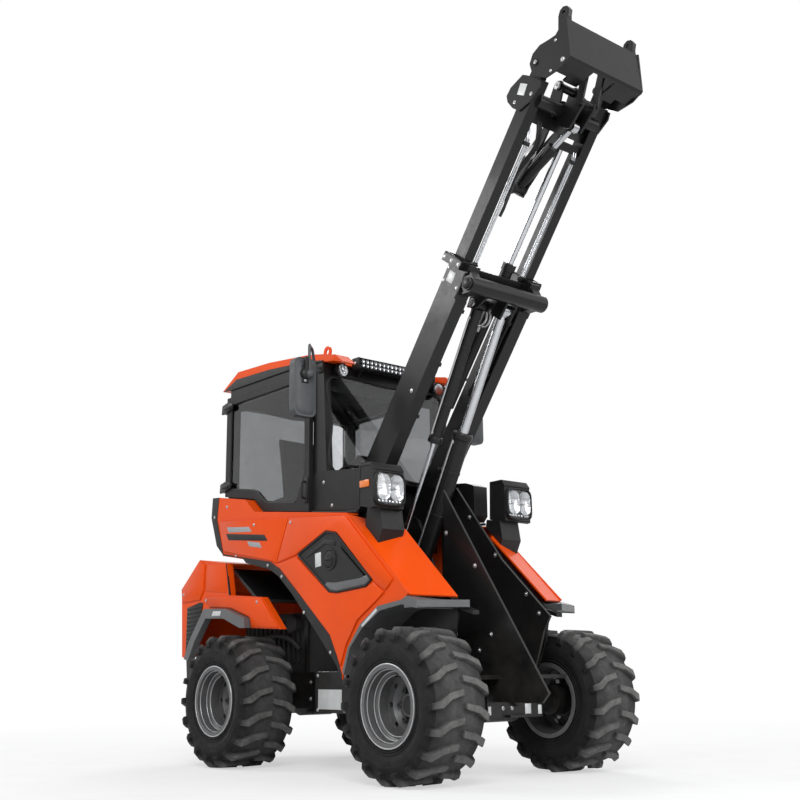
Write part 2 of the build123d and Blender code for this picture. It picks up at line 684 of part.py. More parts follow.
# ================================================================ boom
with BuildPart() as outer_boom:
    for hand in (-1, 1):
        y = hand * arm_y
        plate(((-45, -45), (-45, 45), (90, arm_top), (outer_len, arm_top), (outer_len, arm_low),
               (90, arm_low)), y, arm_w, boom_side)
        disc(boom_side(y), (0, 0), 68, arm_w)
        plate(((outer_len - collar_len, pocket_low - collar_lap),
               (outer_len - collar_len, pocket_top + collar_lap),
               (outer_len, pocket_top + collar_lap), (outer_len, pocket_low - collar_lap)),
              hand * (2 * arm_y + collar_lap - 3) / 2, arm_w + collar_lap - 3, boom_side)
    disc(boom_side(0), (cross_along, cross_perp), cross_r, 2 * cross_half)
    for hand in (-1, 1):
        disc(boom_side(hand * (cross_half + 4)), (cross_along, cross_perp), cross_r - 12, 14)
        y = hand * arm_y
        plate(((cross_along - 90, arm_low + 1), (cross_along + 70, arm_low + 1),
               (cross_along + 40, cross_perp), (cross_along - 50, cross_perp)), y, arm_w - 20,
              boom_side)
    # Cross plate between the arms, and the web that stays the telescope cylinder's gland.
    plate(((cross_along - 60, -22), (cross_along - 60, -12), (outer_len - 20, -12),
           (outer_len - 20, -22)), 0, 2 * arm_y, boom_side)
    for along in (cross_along - 35, cross_along + 40):
        plate(((along - 20, -14), (along - 20, 40), (along + 20, 40), (along + 20, -14)),
              reach_y, 20, boom_side)
    for y in (-arm_y, arm_y):
        plate(((200, pocket_low), (200, pocket_top), (outer_len + 1, pocket_top),
               (outer_len + 1, pocket_low)), y, inner_w + 2 * slide_gap, boom_side,
              Mode.SUBTRACT)
        disc(boom_side(y), (0, 0), pin_r + pin_gap, arm_w + 10, Mode.SUBTRACT)
    lift_ear = lift_eye_w / 2 + ear_gap + ear_t / 2
    for y in (lift_y - lift_ear, lift_y + lift_ear):
        plate(((cross_along - 150, -150), (cross_along - 150, -60), (cross_along + 20, -90),
               (cross_along + 20, -160)), y, ear_t, boom_side)
    # Ears and pin of the levelling cylinder.
    level_ear = level_r + 3 + ear_gap + ear_t / 2
    for y in (level_y - level_ear, level_y + level_ear):
        plate(((level_head[0] - 40, level_head[1] + 30), (level_head[0] + 30, level_head[1] + 40),
               (cross_along + 10, -90), (cross_along - 10, -150), (level_head[0] - 20, -70)),
              y, ear_t, boom_side)
    disc(boom_side(level_y), level_head, pin_r, 2 * level_ear + ear_t)
    # Telescope cylinder's barrel, held by the webs on the cross plate.
    reach_plane = Plane(origin=boom_side(reach_y).from_local_coords(Vector(0, reach_perp, 0)),
                        x_dir=(0, 1, 0), z_dir=(boom_c, 0, boom_s))
    with BuildSketch(reach_plane.offset(reach_foot)):
        Circle(reach_r)
    extrude(amount=reach_gland - reach_foot)
    with BuildSketch(reach_plane.offset(reach_gland - 45)):
        Circle(reach_r + 6)
    extrude(amount=45)
    with BuildSketch(reach_plane.offset(reach_foot + 30)):
        Circle(reach_r - wall_cyl)
    extrude(amount=reach_gland - reach_foot - 60, mode=Mode.SUBTRACT)
    with BuildSketch(reach_plane.offset(reach_gland - 40)):
        Circle(reach_rod_r + pin_gap)
    extrude(amount=50, mode=Mode.SUBTRACT)
save(outer_boom, "outer_boom")

with BuildPart() as reach_rod:
    with BuildSketch(reach_plane.offset(reach_piston)):
        Circle(reach_rod_r)
    extrude(amount=reach_end - reach_piston)
    with BuildSketch(reach_plane.offset(reach_piston)):
        Circle(reach_r - wall_cyl - pin_gap)
    extrude(amount=45)
save(reach_rod, "reach_rod")

with BuildPart() as inner_boom:
    inner_foot = inner_top - inner_len
    for hand in (-1, 1):
        y = hand * arm_y
        plate(((inner_foot, inner_perp - inner_d / 2), (inner_foot, inner_perp + inner_d / 2),
               (inner_top, inner_perp + inner_d / 2), (inner_top, inner_perp - inner_d / 2)),
              y, inner_w, boom_side)
        # Lug that reaches the carrier's pin, and the lobed plate outside it.
        plate(((inner_top - 80, 8), (inner_top - 80, 118), (head_along - 10, 118),
               (head_along + 38, 95), (head_along + 38, 50), (head_along - 10, 30)),
              y, 40, boom_side)
        lobe_y = arm_y + inner_w / 2 + lobe_t / 2 - 1
        plate(((2590, 60), (2592, 120), (2612, 178), (2640, 205), (2690, 200), (2778, 148),
               (2784, 100), (2782, -10), (2740, -20), (2650, 10)), hand * lobe_y, lobe_t,
              boom_side)
        disc(boom_side(y), (head_along, head_perp), pin_r + pin_gap, 60, Mode.SUBTRACT)
    # Cross member of the head, and gussets up to the pin that stays the carrier's hoses.
    plate(((2560, 30), (2560, 85), (2700, 85), (2700, 62), (2612, 45)), 0,
          2 * arm_y - inner_w + 2, boom_side)
    disc(boom_side(0), lever_at, 64, 2 * gusset_y - 12, Mode.SUBTRACT)
    for y in (-gusset_y, gusset_y):
        plate(((2590, 84), (2700, 112), (2790, 124), (2826, 112), (2834, 84), (2818, 56),
               (2740, 30), (2690, 20), (2640, 40)), y, 12, boom_side)
    disc(boom_side(0), gusset_boss, 24, 2 * gusset_y + 28)
    disc(boom_side(0), lever_at, 40, 2 * arm_y - 20)
    # Brackets that carry the tilt cylinder and the telescope cylinder's rod.
    plate(((reach_end, 20), (reach_end, 85), (reach_end + 50, 85), (reach_end + 50, 20)),
          (58 + arm_y - 30) / 2, arm_y - 30 - 58, boom_side)
    tilt_ear = tilt_r + 7 + ear_gap + ear_t / 2
    for y in (-tilt_ear, tilt_ear):
        plate(((2150, 120), (2150, 185), (2220, 190), (2565, 84), (2565, 41), (2490, 41),
               (2220, 110)), y, ear_t, boom_side)
    disc(boom_side(0), tilt_foot, pin_r, 2 * tilt_ear + ear_t)
save(inner_boom, "inner_boom")

carrier_y = 307.0
side_t = 10.0
hook_y = 272.0
px0, pz0 = boom_xz(head_along, head_perp)
link_high = (head_along + link_low[0] - lever_at[0], head_perp + link_low[1] - lever_at[1])
with BuildPart() as tool_carrier:
    # Side plates with the rounded lobe round the pin.
    mirrored_plate(
        ((px0 - 26, pz0 - 68), (px0 - 45, pz0 + 7), (px0 - 20, pz0 + 57), (px0 + 34, pz0 + 87),
         (px0 + 107, pz0 + 90), (px0 + 150, pz0 + 95), (974, 3962), (990, 3962), (1002, 3728),
         (930, 3690), (px0 + 63, pz0 - 123)),
        carrier_y - side_t / 2, side_t,
    )
    # Front sheet, bent back along its lower edge and cut away round the arms.
    plate(((972, 3960), (984, 3962), (1002, 3728), (988, 3724)), 0, 2 * carrier_y - 1)
    plate(((1002, 3728), (990, 3716), (885, 3690), (885, 3702), (990, 3732)), 0,
          2 * carrier_y - 1)
    plate(((890, 3691), (852, 3679), (850, 3691), (890, 3704)), 0, 2 * (arm_y - 52))
    plate(((830, 3650), (978, 3650), (978, 3745), (830, 3745)), 0, 184, mode=Mode.SUBTRACT)
    # Hooks on the upper edge and the eyes for the locking pins below.
    for y in (-hook_y, hook_y):
        plate(((905, 3900), (912, 4010), (925, 4040), (948, 4053), (975, 4046), (992, 4020),
               (984, 3985), (984, 3900)), y, 26)
    # Inner plates beside each arm's lug carry the pin.
    for y in (-arm_y + 30, -arm_y - 30, arm_y - 30, arm_y + 30):
        plate(((px0 - 30, pz0), (px0, pz0 + 34), (px0 + 60, pz0 + 60), (974, 3900),
               (984, 3740), (px0 + 110, pz0 - 30), (px0, pz0 - 30)), y, 14)
    for y in (-arm_y, arm_y):
        disc(side(y), (px0, pz0), pin_r, 2 * (carrier_y - arm_y) + 10)
    cx0, cz0 = boom_xz(*link_high)
    for y in (-79, 79):
        plate(((cx0 - 30, cz0 + 22), (cx0 - 30, cz0 - 12), (cx0 - 8, cz0 - 30), (985, 3760),
               (980, 3880)), y, 14)
    disc(side(0), (cx0, cz0), 16, 2 * 82)
    for y in (-hook_y, hook_y):
        disc(side(y), (950, 4018), hook_hole_r, 40, Mode.SUBTRACT)
save(tool_carrier, "tool_carrier")

# ================================================================ cylinders and linkage
lift_end = boom_xz(*lift_eye)
lift_barrel = barrel(lift_foot, lift_end, lift_y, lift_r, lift_rod_r, lift_barrel_len, 48,
                     lift_eye_w)
save(lift_barrel, "lift_barrel")
lift_rod = rod(lift_foot, lift_end, lift_y, lift_r, lift_rod_r, lift_barrel_len, 40, lift_eye_w)
save(lift_rod, "lift_rod")

level_start = boom_xz(*level_head)
level_barrel = barrel(level_start, level_foot, level_y, level_r, level_rod_r,
                      level_barrel_len, 36, 2 * level_r + 6)
save(level_barrel, "level_barrel")
level_rod = rod(level_start, level_foot, level_y, level_r, level_rod_r, level_barrel_len, 32,
                level_eye_w)
save(level_rod, "level_rod")

tilt_start = boom_xz(*tilt_foot)
tilt_end = boom_xz(*tilt_eye)
tilt_barrel = barrel(tilt_start, tilt_end, 0, tilt_r, tilt_rod_r, tilt_barrel_len, 36,
                     2 * tilt_r + 14)
save(tilt_barrel, "tilt_barrel")
tilt_rod = rod(tilt_start, tilt_end, 0, tilt_r, tilt_rod_r, tilt_barrel_len, 30, tilt_eye_w)
save(tilt_rod, "tilt_rod")

lever_y = 46.0
lever_t = 16.0
link_t = 14.0
link_y = lever_y + lever_t / 2 + 1 + link_t / 2
with BuildPart() as tilt_lever:
    for y in (-lever_y, lever_y):
        plate(((2640, 60), (2600, -60), (2610, -110), (2650, -118), (2752, -136),
               (2788, -128), (2794, -100), (2728, 0), (2720, 60)), y, lever_t, boom_side)
    disc(boom_side(0), lever_at, 56, 2 * lever_y)
    disc(boom_side(0), tilt_eye, 14, 2 * lever_y)
    disc(boom_side(0), link_low, 16, 2 * (link_y + link_t / 2))
    disc(boom_side(0), tilt_eye, 44, tilt_eye_w + 6, Mode.SUBTRACT)
    disc(boom_side(0), lever_at, 40 + pin_gap, 3 * lever_y, Mode.SUBTRACT)
save(tilt_lever, "tilt_lever")

with BuildPart() as tilt_link:
    for y in (-link_y, link_y):
        ux, uz = link_high[0] - link_low[0], link_high[1] - link_low[1]
        n = hypot(ux, uz)
        ox, oz = -uz / n * 24, ux / n * 24
        plate(((link_low[0] + ox, link_low[1] + oz), (link_low[0] - ox, link_low[1] - oz),
               (link_high[0] - ox, link_high[1] - oz), (link_high[0] + ox, link_high[1] + oz)),
              y, link_t, boom_side)
        for at in (link_low, link_high):
            disc(boom_side(y), at, 28, link_t)
            disc(boom_side(y), at, 16 + pin_gap, link_t + 2, Mode.SUBTRACT)
save(tilt_link, "tilt_link")
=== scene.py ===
import json
import math

import bmesh
import bpy
from mathutils import Matrix, Vector


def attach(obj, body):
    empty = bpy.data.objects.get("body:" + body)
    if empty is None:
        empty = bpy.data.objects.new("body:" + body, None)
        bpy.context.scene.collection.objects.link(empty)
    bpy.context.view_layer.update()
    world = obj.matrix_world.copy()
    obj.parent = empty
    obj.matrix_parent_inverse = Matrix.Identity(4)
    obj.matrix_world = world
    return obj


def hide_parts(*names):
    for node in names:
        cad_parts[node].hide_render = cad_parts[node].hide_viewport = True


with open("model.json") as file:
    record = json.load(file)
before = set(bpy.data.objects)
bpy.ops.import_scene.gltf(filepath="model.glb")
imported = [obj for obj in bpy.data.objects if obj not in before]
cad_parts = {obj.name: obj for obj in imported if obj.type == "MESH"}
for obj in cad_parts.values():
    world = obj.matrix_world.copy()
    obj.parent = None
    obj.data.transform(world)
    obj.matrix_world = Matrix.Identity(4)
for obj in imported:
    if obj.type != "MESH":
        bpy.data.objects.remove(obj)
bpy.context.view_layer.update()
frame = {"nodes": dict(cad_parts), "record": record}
nodes = frame["nodes"]
scene = bpy.context.scene

# ---------------------------------------- camera
CAMERA_AT = Vector((5.225, -4.556, 0.580))
TURN, RISE, ROLL = math.radians(49.44), math.radians(13.23), math.radians(-0.58)


def place_camera():
    """Camera at the photograph's viewing angle, low at the front right corner."""
    ahead = Vector((-math.sin(TURN) * math.cos(RISE), math.cos(TURN) * math.cos(RISE),
        math.sin(RISE)))
    level = Vector((math.cos(TURN), math.sin(TURN), 0))
    above = level.cross(ahead)
    right = math.cos(ROLL) * level + math.sin(ROLL) * above
    up = -math.sin(ROLL) * level + math.cos(ROLL) * above
    data = bpy.data.cameras.new("camera")
    data.lens = 51.28
    data.sensor_width = 36
    camera = bpy.data.objects.new("camera", data)
    turned = Matrix((right, up, -ahead)).transposed().to_4x4()
    camera.matrix_world = Matrix.Translation(CAMERA_AT) @ turned
    scene.collection.objects.link(camera)
    scene.camera = camera


place_camera()
scene.view_settings.view_transform = "Standard"


# ---------------------------------------- materials
class Graph:
    """A material's node tree with a Principled shader."""

    def __init__(self, name):
        self.mat = bpy.data.materials.new(name)
        self.mat.use_nodes = True
        self.tree = self.mat.node_tree
        self.bsdf = self.tree.nodes["Principled BSDF"]
        self.coord = self.node("ShaderNodeTexCoord").outputs["Object"]

    def node(self, kind, **values):
        n = self.tree.nodes.new(kind)
        for key, value in values.items():
            setattr(n, key, value)
        return n

    def link(self, a, b):
        self.tree.links.new(a, b)

    def noise(self, scale, detail=4.0, roughness=0.55, distortion=0.0):
        n = self.node("ShaderNodeTexNoise")
        n.inputs["Scale"].default_value = scale
        n.inputs["Detail"].default_value = detail
        n.inputs["Roughness"].default_value = roughness
        n.inputs["Distortion"].default_value = distortion
        self.link(self.coord, n.inputs["Vector"])
        return n.outputs["Fac"]

    def voronoi(self, scale):
        n = self.node("ShaderNodeTexVoronoi")
        n.inputs["Scale"].default_value = scale
        self.link(self.coord, n.inputs["Vector"])
        return n.outputs["Distance"]

    def spread(self, value, low, high, to_low, to_high):
        n = self.node("ShaderNodeMapRange")
        for key, v in zip(("From Min", "From Max", "To Min", "To Max"),
                (low, high, to_low, to_high)):
            n.inputs[key].default_value = v
        self.link(value, n.inputs["Value"])
        return n.outputs["Result"]

    def math(self, operation, a, b):
        n = self.node("ShaderNodeMath", operation=operation)
        for socket, v in zip(n.inputs, (a, b)):
            if isinstance(v, (int, float)):
                socket.default_value = v
            else:
                self.link(v, socket)
        return n.outputs[0]

    def mix(self, factor, a, b):
        n = self.node("ShaderNodeMix", data_type="RGBA")
        self.link(factor, n.inputs["Factor"])
        for key, v in ((6, a), (7, b)):
            if isinstance(v, tuple):
                n.inputs[key].default_value = v + (1.0,)
            else:
                self.link(v, n.inputs[key])
        return n.outputs[2]

    def rounded_normal(self, radius):
        """Surface normal with the edges rounded off."""
        bevel = self.node("ShaderNodeBevel", samples=4)
        bevel.inputs["Radius"].default_value = radius
        return bevel.outputs["Normal"]

    def edges(self):
        """0 on flat faces, 1 on the edges of a shape, over 4 mm."""
        dot = self.node("ShaderNodeVectorMath", operation="DOT_PRODUCT")
        self.link(self.rounded_normal(0.004), dot.inputs[0])
        self.link(self.node("ShaderNodeNewGeometry").outputs["Normal"], dot.inputs[1])
        return self.spread(self.math("SUBTRACT", 1.0, dot.outputs["Value"]), 0.03, 0.3, 0, 1)

    def relief(self, height, strength, depth, bevel=0.0):
        """Fine relief on the shader's normal, with the edges rounded off by bevel."""
        bump = self.node("ShaderNodeBump")
        bump.inputs["Strength"].default_value = strength
        bump.inputs["Distance"].default_value = depth
        self.link(height, bump.inputs["Height"])
        if bevel:
            self.link(self.rounded_normal(bevel), bump.inputs["Normal"])
        self.link(bump.outputs["Normal"], self.bsdf.inputs["Normal"])

    def low_down(self, top, bottom):
        """0 above the height top, 1 below the height bottom."""
        n = self.node("ShaderNodeSeparateXYZ")
        self.link(self.coord, n.inputs[0])
        return self.spread(n.outputs["Z"], top, bottom, 0, 1)


DUST = (0.20, 0.175, 0.15)


def shade(tone, k):
    return tuple(min(1.0, c * k) for c in tone)


def material(name, tone, rough, metal=0.0, spec=0.5, coat=0.0, patch=6.0, vary=0.12,
        rough_vary=0.06, grain=900.0, bump=0.15, depth=0.0002, bevel=0.0, worn=None,
        dust=0.0, dust_top=1.1, cells=False):
    """Paint, plastic, rubber or metal with uneven tone and gloss, a grain, dust and worn edges."""
    g = Graph(name)
    patches = g.noise(patch, 5.0, 0.6)
    colour = g.mix(g.spread(patches, 0.3, 0.7, 0, 1), shade(tone, 1 - vary), shade(tone, 1 + vary))
    smudge = g.noise(patch * 3.1, 6.0, 0.65, distortion=0.4)
    roughness = g.spread(smudge, 0.3, 0.7, rough - rough_vary, rough + rough_vary)
    if worn:
        mask = g.math("MULTIPLY", g.edges(), g.spread(g.noise(55.0, 6.0, 0.7), 0.42, 0.62, 0, 1))
        colour = g.mix(mask, colour, worn)
    if dust:
        film = g.math("MULTIPLY", g.low_down(dust_top, 0.05),
            g.spread(g.noise(9.0, 8.0, 0.7), 0.35, 0.75, 0, dust))
        colour = g.mix(film, colour, DUST)
        roughness = g.math("ADD", roughness, g.math("MULTIPLY", film, 0.35))
    g.link(colour, g.bsdf.inputs["Base Color"])
    g.link(roughness, g.bsdf.inputs["Roughness"])
    g.bsdf.inputs["Metallic"].default_value = metal
    g.bsdf.inputs["Specular IOR Level"].default_value = spec
    g.bsdf.inputs["Coat Weight"].default_value = coat
    g.bsdf.inputs["Coat Roughness"].default_value = 0.08
    g.relief(g.voronoi(grain) if cells else g.noise(grain, 3.0, 0.5), bump, depth, bevel)
    return g.mat


orange = material("orange_paint", (0.76, 0.072, 0.002), 0.36, spec=0.14, coat=0.10, patch=2.2,
    vary=0.05, rough_vary=0.04, grain=420.0, bump=0.08, depth=0.0003, bevel=0.004, dust=0.10)
black = material("frame_paint", (0.0065, 0.0065, 0.0068), 0.36, spec=0.26, coat=0.08, vary=0.18,
    grain=600.0, bump=0.16, depth=0.0003, bevel=0.0035, worn=(0.045, 0.045, 0.046), dust=0.20)
trim = material("trim_plastic", (0.011, 0.011, 0.0115), 0.50, spec=0.26, grain=1400.0, bump=0.40,
    depth=0.0003, bevel=0.003, cells=True, dust=0.10, dust_top=1.6)
grey_trim = material("grey_plastic", (0.095, 0.097, 0.100), 0.40, spec=0.60, grain=1400.0,
    bump=0.40, depth=0.0003, bevel=0.004, cells=True, dust=0.12)
mirror_grey = material("mirror_shell", (0.050, 0.054, 0.058), 0.42, spec=0.40, grain=1600.0,
    bump=0.25, depth=0.0002, bevel=0.003, cells=True)
rim_paint = material("rim_paint", (0.115, 0.117, 0.120), 0.42, metal=0.30, spec=0.4, patch=12.0,
    vary=0.12, grain=800.0, bump=0.15, bevel=0.003, worn=(0.30, 0.30, 0.31), dust=0.25)
rim_bright = material("rim_edge", (0.42, 0.43, 0.44), 0.34, metal=0.6, patch=30.0, vary=0.15,
    grain=900.0, bump=0.15, dust=0.15)
chrome = material("rod_chrome", (0.52, 0.53, 0.55), 0.20, metal=1.0, patch=30.0, vary=0.06,
    rough_vary=0.03, grain=40.0, bump=0.0)
silver = material("mirror_silver", (0.82, 0.84, 0.86), 0.03, metal=1.0, patch=8.0, vary=0.02,
    rough_vary=0.01, grain=300.0, bump=0.01)
iron = material("engine_iron", (0.05, 0.05, 0.05), 0.62, metal=0.4, grain=350.0, bump=0.6,
    depth=0.0008, bevel=0.003)
steel = material("zinc_steel", (0.46, 0.46, 0.47), 0.34, metal=0.9, patch=40.0, grain=1500.0,
    bump=0.2, bevel=0.001)
seal = material("black_seal", (0.009, 0.009, 0.009), 0.55, spec=0.32, patch=20.0, grain=1200.0,
    bump=0.3)
headliner = material("headliner_cloth", (0.030, 0.030, 0.032), 0.85, spec=0.2, patch=9.0,
    vary=0.15, bump=0.05)
stripe_grey = material("stripe_film", (0.30, 0.31, 0.32), 0.42, patch=20.0, vary=0.06,
    grain=1500.0, bump=0.08)
plate_pale = material("label_plate", (0.58, 0.59, 0.59), 0.40, metal=0.2, patch=25.0, vary=0.08,
    grain=1200.0, bump=0.12, bevel=0.001)
amber = material("amber_lens", (0.75, 0.17, 0.01), 0.15, spec=0.5, coat=0.5, patch=30.0,
    grain=260.0, bump=0.5, depth=0.0006, cells=True)
red = material("red_lens", (0.50, 0.010, 0.008), 0.15, spec=0.5, coat=0.5, patch=30.0,
    grain=260.0, bump=0.5, depth=0.0006, cells=True)


FRONT_AXLE = 0.675
HALF_BASE = 0.827
TYRE_R = 0.394


def tread_rubber():
    """Tyre rubber: dark walls; a paler tread, partly scuffed and partly painted light on the lit
    lugs.
    """
    g = Graph("tyre_rubber")
    axes = g.node("ShaderNodeSeparateXYZ")
    g.link(g.coord, axes.inputs[0])
    from_middle = g.math("ADD", axes.outputs["X"], HALF_BASE - FRONT_AXLE)
    along = g.math("SUBTRACT", g.math("ABSOLUTE", from_middle, 0.0), HALF_BASE)
    rise = g.math("SUBTRACT", axes.outputs["Z"], TYRE_R)
    radius = g.math("SQRT", g.math("ADD", g.math("MULTIPLY", along, along),
        g.math("MULTIPLY", rise, rise)), 0.0)
    # Paler tread colour: partly scuffing, partly painted light standing in for the lamps' light on
    # the lugs.
    scuff_and_painted_light = g.math("MULTIPLY", g.spread(radius, 0.350, 0.392, 0, 1),
        g.spread(g.noise(22.0, 7.0, 0.7), 0.25, 0.65, 0.35, 1.0))
    base = g.mix(g.spread(g.noise(14.0, 5.0, 0.6), 0.3, 0.7, 0, 1), (0.008, 0.008, 0.0085),
        (0.015, 0.015, 0.0155))
    colour = g.mix(scuff_and_painted_light, base, (0.135, 0.133, 0.130))
    colour = g.mix(g.math("MULTIPLY", g.edges(), 0.45), colour, (0.11, 0.108, 0.105))
    g.link(colour, g.bsdf.inputs["Base Color"])
    g.link(g.spread(g.noise(30.0), 0.3, 0.7, 0.62, 0.82), g.bsdf.inputs["Roughness"])
    g.bsdf.inputs["Specular IOR Level"].default_value = 0.20
    g.relief(g.noise(420.0, 5.0, 0.65), 0.5, 0.0006, 0.004)
    return g.mat


def woven_cloth():
    """Dark woven seat cover: crossed threads, fuzz and a soft sheen."""
    g = Graph("seat_cloth")
    waves = []
    for axis in ("X", "Y"):
        wave = g.node("ShaderNodeTexWave", bands_direction=axis)
        wave.inputs["Scale"].default_value = 260.0
        wave.inputs["Distortion"].default_value = 0.6
        g.link(g.coord, wave.inputs["Vector"])
        waves.append(wave.outputs["Fac"])
    weave = g.math("MAXIMUM", waves[0], waves[1])
    g.link(g.mix(g.spread(g.noise(7.0, 6.0, 0.65), 0.3, 0.7, 0, 1), (0.018, 0.018, 0.020),
        (0.034, 0.034, 0.037)), g.bsdf.inputs["Base Color"])
    g.link(g.spread(weave, 0, 1, 0.78, 0.92), g.bsdf.inputs["Roughness"])
    g.bsdf.inputs["Sheen Weight"].default_value = 0.3
    g.relief(weave, 0.5, 0.0005)
    return g.mat


rubber = tread_rubber()
seat_cloth = woven_cloth()


def glass(name, tone):
    """Tinted clear material with faint smears in its gloss."""
    g = Graph(name)
    smear = g.noise(5.0, 6.0, 0.7, distortion=1.2)
    g.link(g.mix(g.spread(smear, 0.35, 0.65, 0, 1), tone, shade(tone, 1.12)),
        g.bsdf.inputs["Base Color"])
    g.link(g.spread(smear, 0.35, 0.75, 0.0, 0.05), g.bsdf.inputs["Roughness"])
    g.bsdf.inputs["Transmission Weight"].default_value = 1.0
    g.bsdf.inputs["IOR"].default_value = 1.45
    return g.mat


window = glass("window_glass", (0.205, 0.21, 0.215))
screen = glass("windscreen_glass", (0.74, 0.75, 0.76))
lens = glass("lamp_glass", (0.95, 0.96, 0.97))

by_slot = {
    "body_orange": orange, "frame_black": black, "trim_black": trim, "cowl_grey": trim,
    "tyre_rubber": rubber, "rim_grey": rim_paint, "rod_chrome": chrome, "window": window,
    "lamp_clear": lens, "seat_cover": trim, "engine_iron": iron,
}
special = {
    "front_fender_lips": grey_trim, "rear_fender_lips": grey_trim, "mirrors": mirror_grey,
    "cab_glass": screen,
}
for part in frame["record"]["subparts"]:
    node = nodes[part["node"]]
    paint = special.get(part["node"], by_slot[part["material_slot"]])
    if not node.data.materials:
        node.data.materials.append(paint)
    for i in range(len(node.data.materials)):
        node.data.materials[i] = paint


# ---------------------------------------- stage
def stage_floor():
    """Pale floor, 80 m across."""
    mesh = bpy.data.meshes.new("floor")
    mesh.from_pydata([(-40, -40, 0), (40, -40, 0), (40, 40, 0), (-40, 40, 0)], [], [(0, 1, 2, 3)])
    floor = bpy.data.objects.new("floor", mesh)
    scene.collection.objects.link(floor)
    g = Graph("floor_pale")
    g.link(g.mix(g.spread(g.noise(3.0), 0.3, 0.7, 0, 1), (0.80, 0.80, 0.80), (0.86, 0.86, 0.86)),
        g.bsdf.inputs["Base Color"])
    g.bsdf.inputs["Roughness"].default_value = 0.9
    g.bsdf.inputs["Specular IOR Level"].default_value = 0.1
    # Seen by the camera, the floor pales to white and keeps the object's shadow near it.
    apart = g.node("ShaderNodeVectorMath", operation="LENGTH")
    g.link(g.coord, apart.inputs[0])
    pale = g.spread(apart.outputs["Value"], 1.8, 7.0, 0.55, 1.0)
    eye = g.node("ShaderNodeLightPath").outputs["Is Camera Ray"]
    white = g.node("ShaderNodeEmission")
    white.inputs["Color"].default_value = (1, 1, 1, 1)
    blend = g.node("ShaderNodeMixShader")
    g.link(g.math("MULTIPLY", pale, eye), blend.inputs["Fac"])
    g.link(g.bsdf.outputs[0], blend.inputs[1])
    g.link(white.outputs[0], blend.inputs[2])
    g.link(blend.outputs[0], g.tree.nodes["Material Output"].inputs["Surface"])
    mesh.materials.append(g.mat)


def studio_world():
    """Soft light from all round, and plain white for the camera, gloss and glass."""
    world = bpy.data.worlds.new("studio")
    scene.world = world
    world.use_nodes = True
    tree = world.node_tree
    tree.nodes.clear()
    output = tree.nodes.new("ShaderNodeOutputWorld")
    mix = tree.nodes.new("ShaderNodeMixShader")
    for socket, colour, strength in ((1, (0.95, 0.97, 1.0, 1), 0.42), (2, (1, 1, 1, 1), 1.0)):
        background = tree.nodes.new("ShaderNodeBackground")
        background.inputs["Color"].default_value = colour
        background.inputs["Strength"].default_value = strength
        tree.links.new(background.outputs[0], mix.inputs[socket])
    path = tree.nodes.new("ShaderNodeLightPath")
    white = path.outputs["Is Camera Ray"]
    for kind in ("Is Glossy Ray", "Is Transmission Ray"):
        either = tree.nodes.new("ShaderNodeMath")
        either.operation = "MAXIMUM"
        tree.links.new(white, either.inputs[0])
        tree.links.new(path.outputs[kind], either.inputs[1])
        white = either.outputs[0]
    tree.links.new(white, mix.inputs["Fac"])
    tree.links.new(mix.outputs[0], output.inputs["Surface"])


def area_light(name, place, target, size, power):
    data = bpy.data.lights.new(name, "AREA")
    data.shape = "RECTANGLE"
    data.size, data.size_y = size
    data.energy = power
    lamp = bpy.data.objects.new(name, data)
    lamp.location = place
    lamp.rotation_mode = "QUATERNION"
    lamp.rotation_quaternion = (Vector(target) - Vector(place)).to_track_quat("-Z", "Y")
    scene.collection.objects.link(lamp)


stage_floor()
studio_world()
area_light("key", (6.5, -5.5, 6.5), (0, 0, 1.6), (4.0, 4.0), 560)
area_light("side", (-4.5, -5.0, 5.6), (0, 0, 2.4), (2.2, 1.6), 130)
area_light("fill", (8.0, 2.5, 4.5), (0, 0, 1.5), (5.0, 4.0), 280)
area_light("rim", (-5.0, 5.0, 6.0), (0, 0, 1.8), (4.0, 3.0), 300)


# ---------------------------------------- mesh helpers
MM = Matrix.Scale(0.001, 4)
HANDS = (-1, 1)  # right and left
BOOM_RISE = math.radians(53.6)
BOOM_C, BOOM_S = math.cos(BOOM_RISE), math.sin(BOOM_RISE)
BOOM_FOOT = (-884, 1450)
# Outer faces, in millimetres from the middle of the machine.
PANEL_Y = 600
CAB_Y = 505
DOOR_Y = 535
STEP_BOX_Y = 449
WALL_Y = 357
ARM_Y = 294


def at(x, y, z):
    """Millimetres from the front axle, at ground level, to scene metres."""
    return Vector((FRONT_AXLE + x / 1000, y / 1000, z / 1000))


def basis(origin, ux, uy, uz):
    """Matrix from millimetres along three directions to scene metres."""
    turned = Matrix((ux, uy, uz)).transposed().to_4x4()
    return Matrix.Translation(origin) @ turned @ MM


def side(hand, y=0.0):
    """Side view: forward, up, and outward from the distance y."""
    return basis(at(0, hand * y, 0), (1, 0, 0), (0, 0, 1), (0, hand, 0))


def facing_front(x, y, z, facing=1):
    """End view about a point: left, up, and forward (or back)."""
    return basis(at(x, y, z), (0, 1, 0), (0, 0, 1), (facing, 0, 0))


def front(x, facing=1):
    """End view from the plane x."""
    return facing_front(x, 0, 0, facing)


def top(z):
    """View from above: forward, left, and up from z."""
    return basis(at(0, 0, z), (1, 0, 0), (0, 1, 0), (0, 0, 1))


def arm(hand, y=0.0):
    """Boom's side view: along the arms, square to them, and outward from y."""
    return basis(at(BOOM_FOOT[0], hand * y, BOOM_FOOT[1]), (BOOM_C, 0, BOOM_S),
        (-BOOM_S, 0, BOOM_C), (0, hand, 0))


def on_arm(along, perp, y):
    """Point by its place in the boom's side view and its distance to the left."""
    return arm(1) @ Vector((along, perp, y))


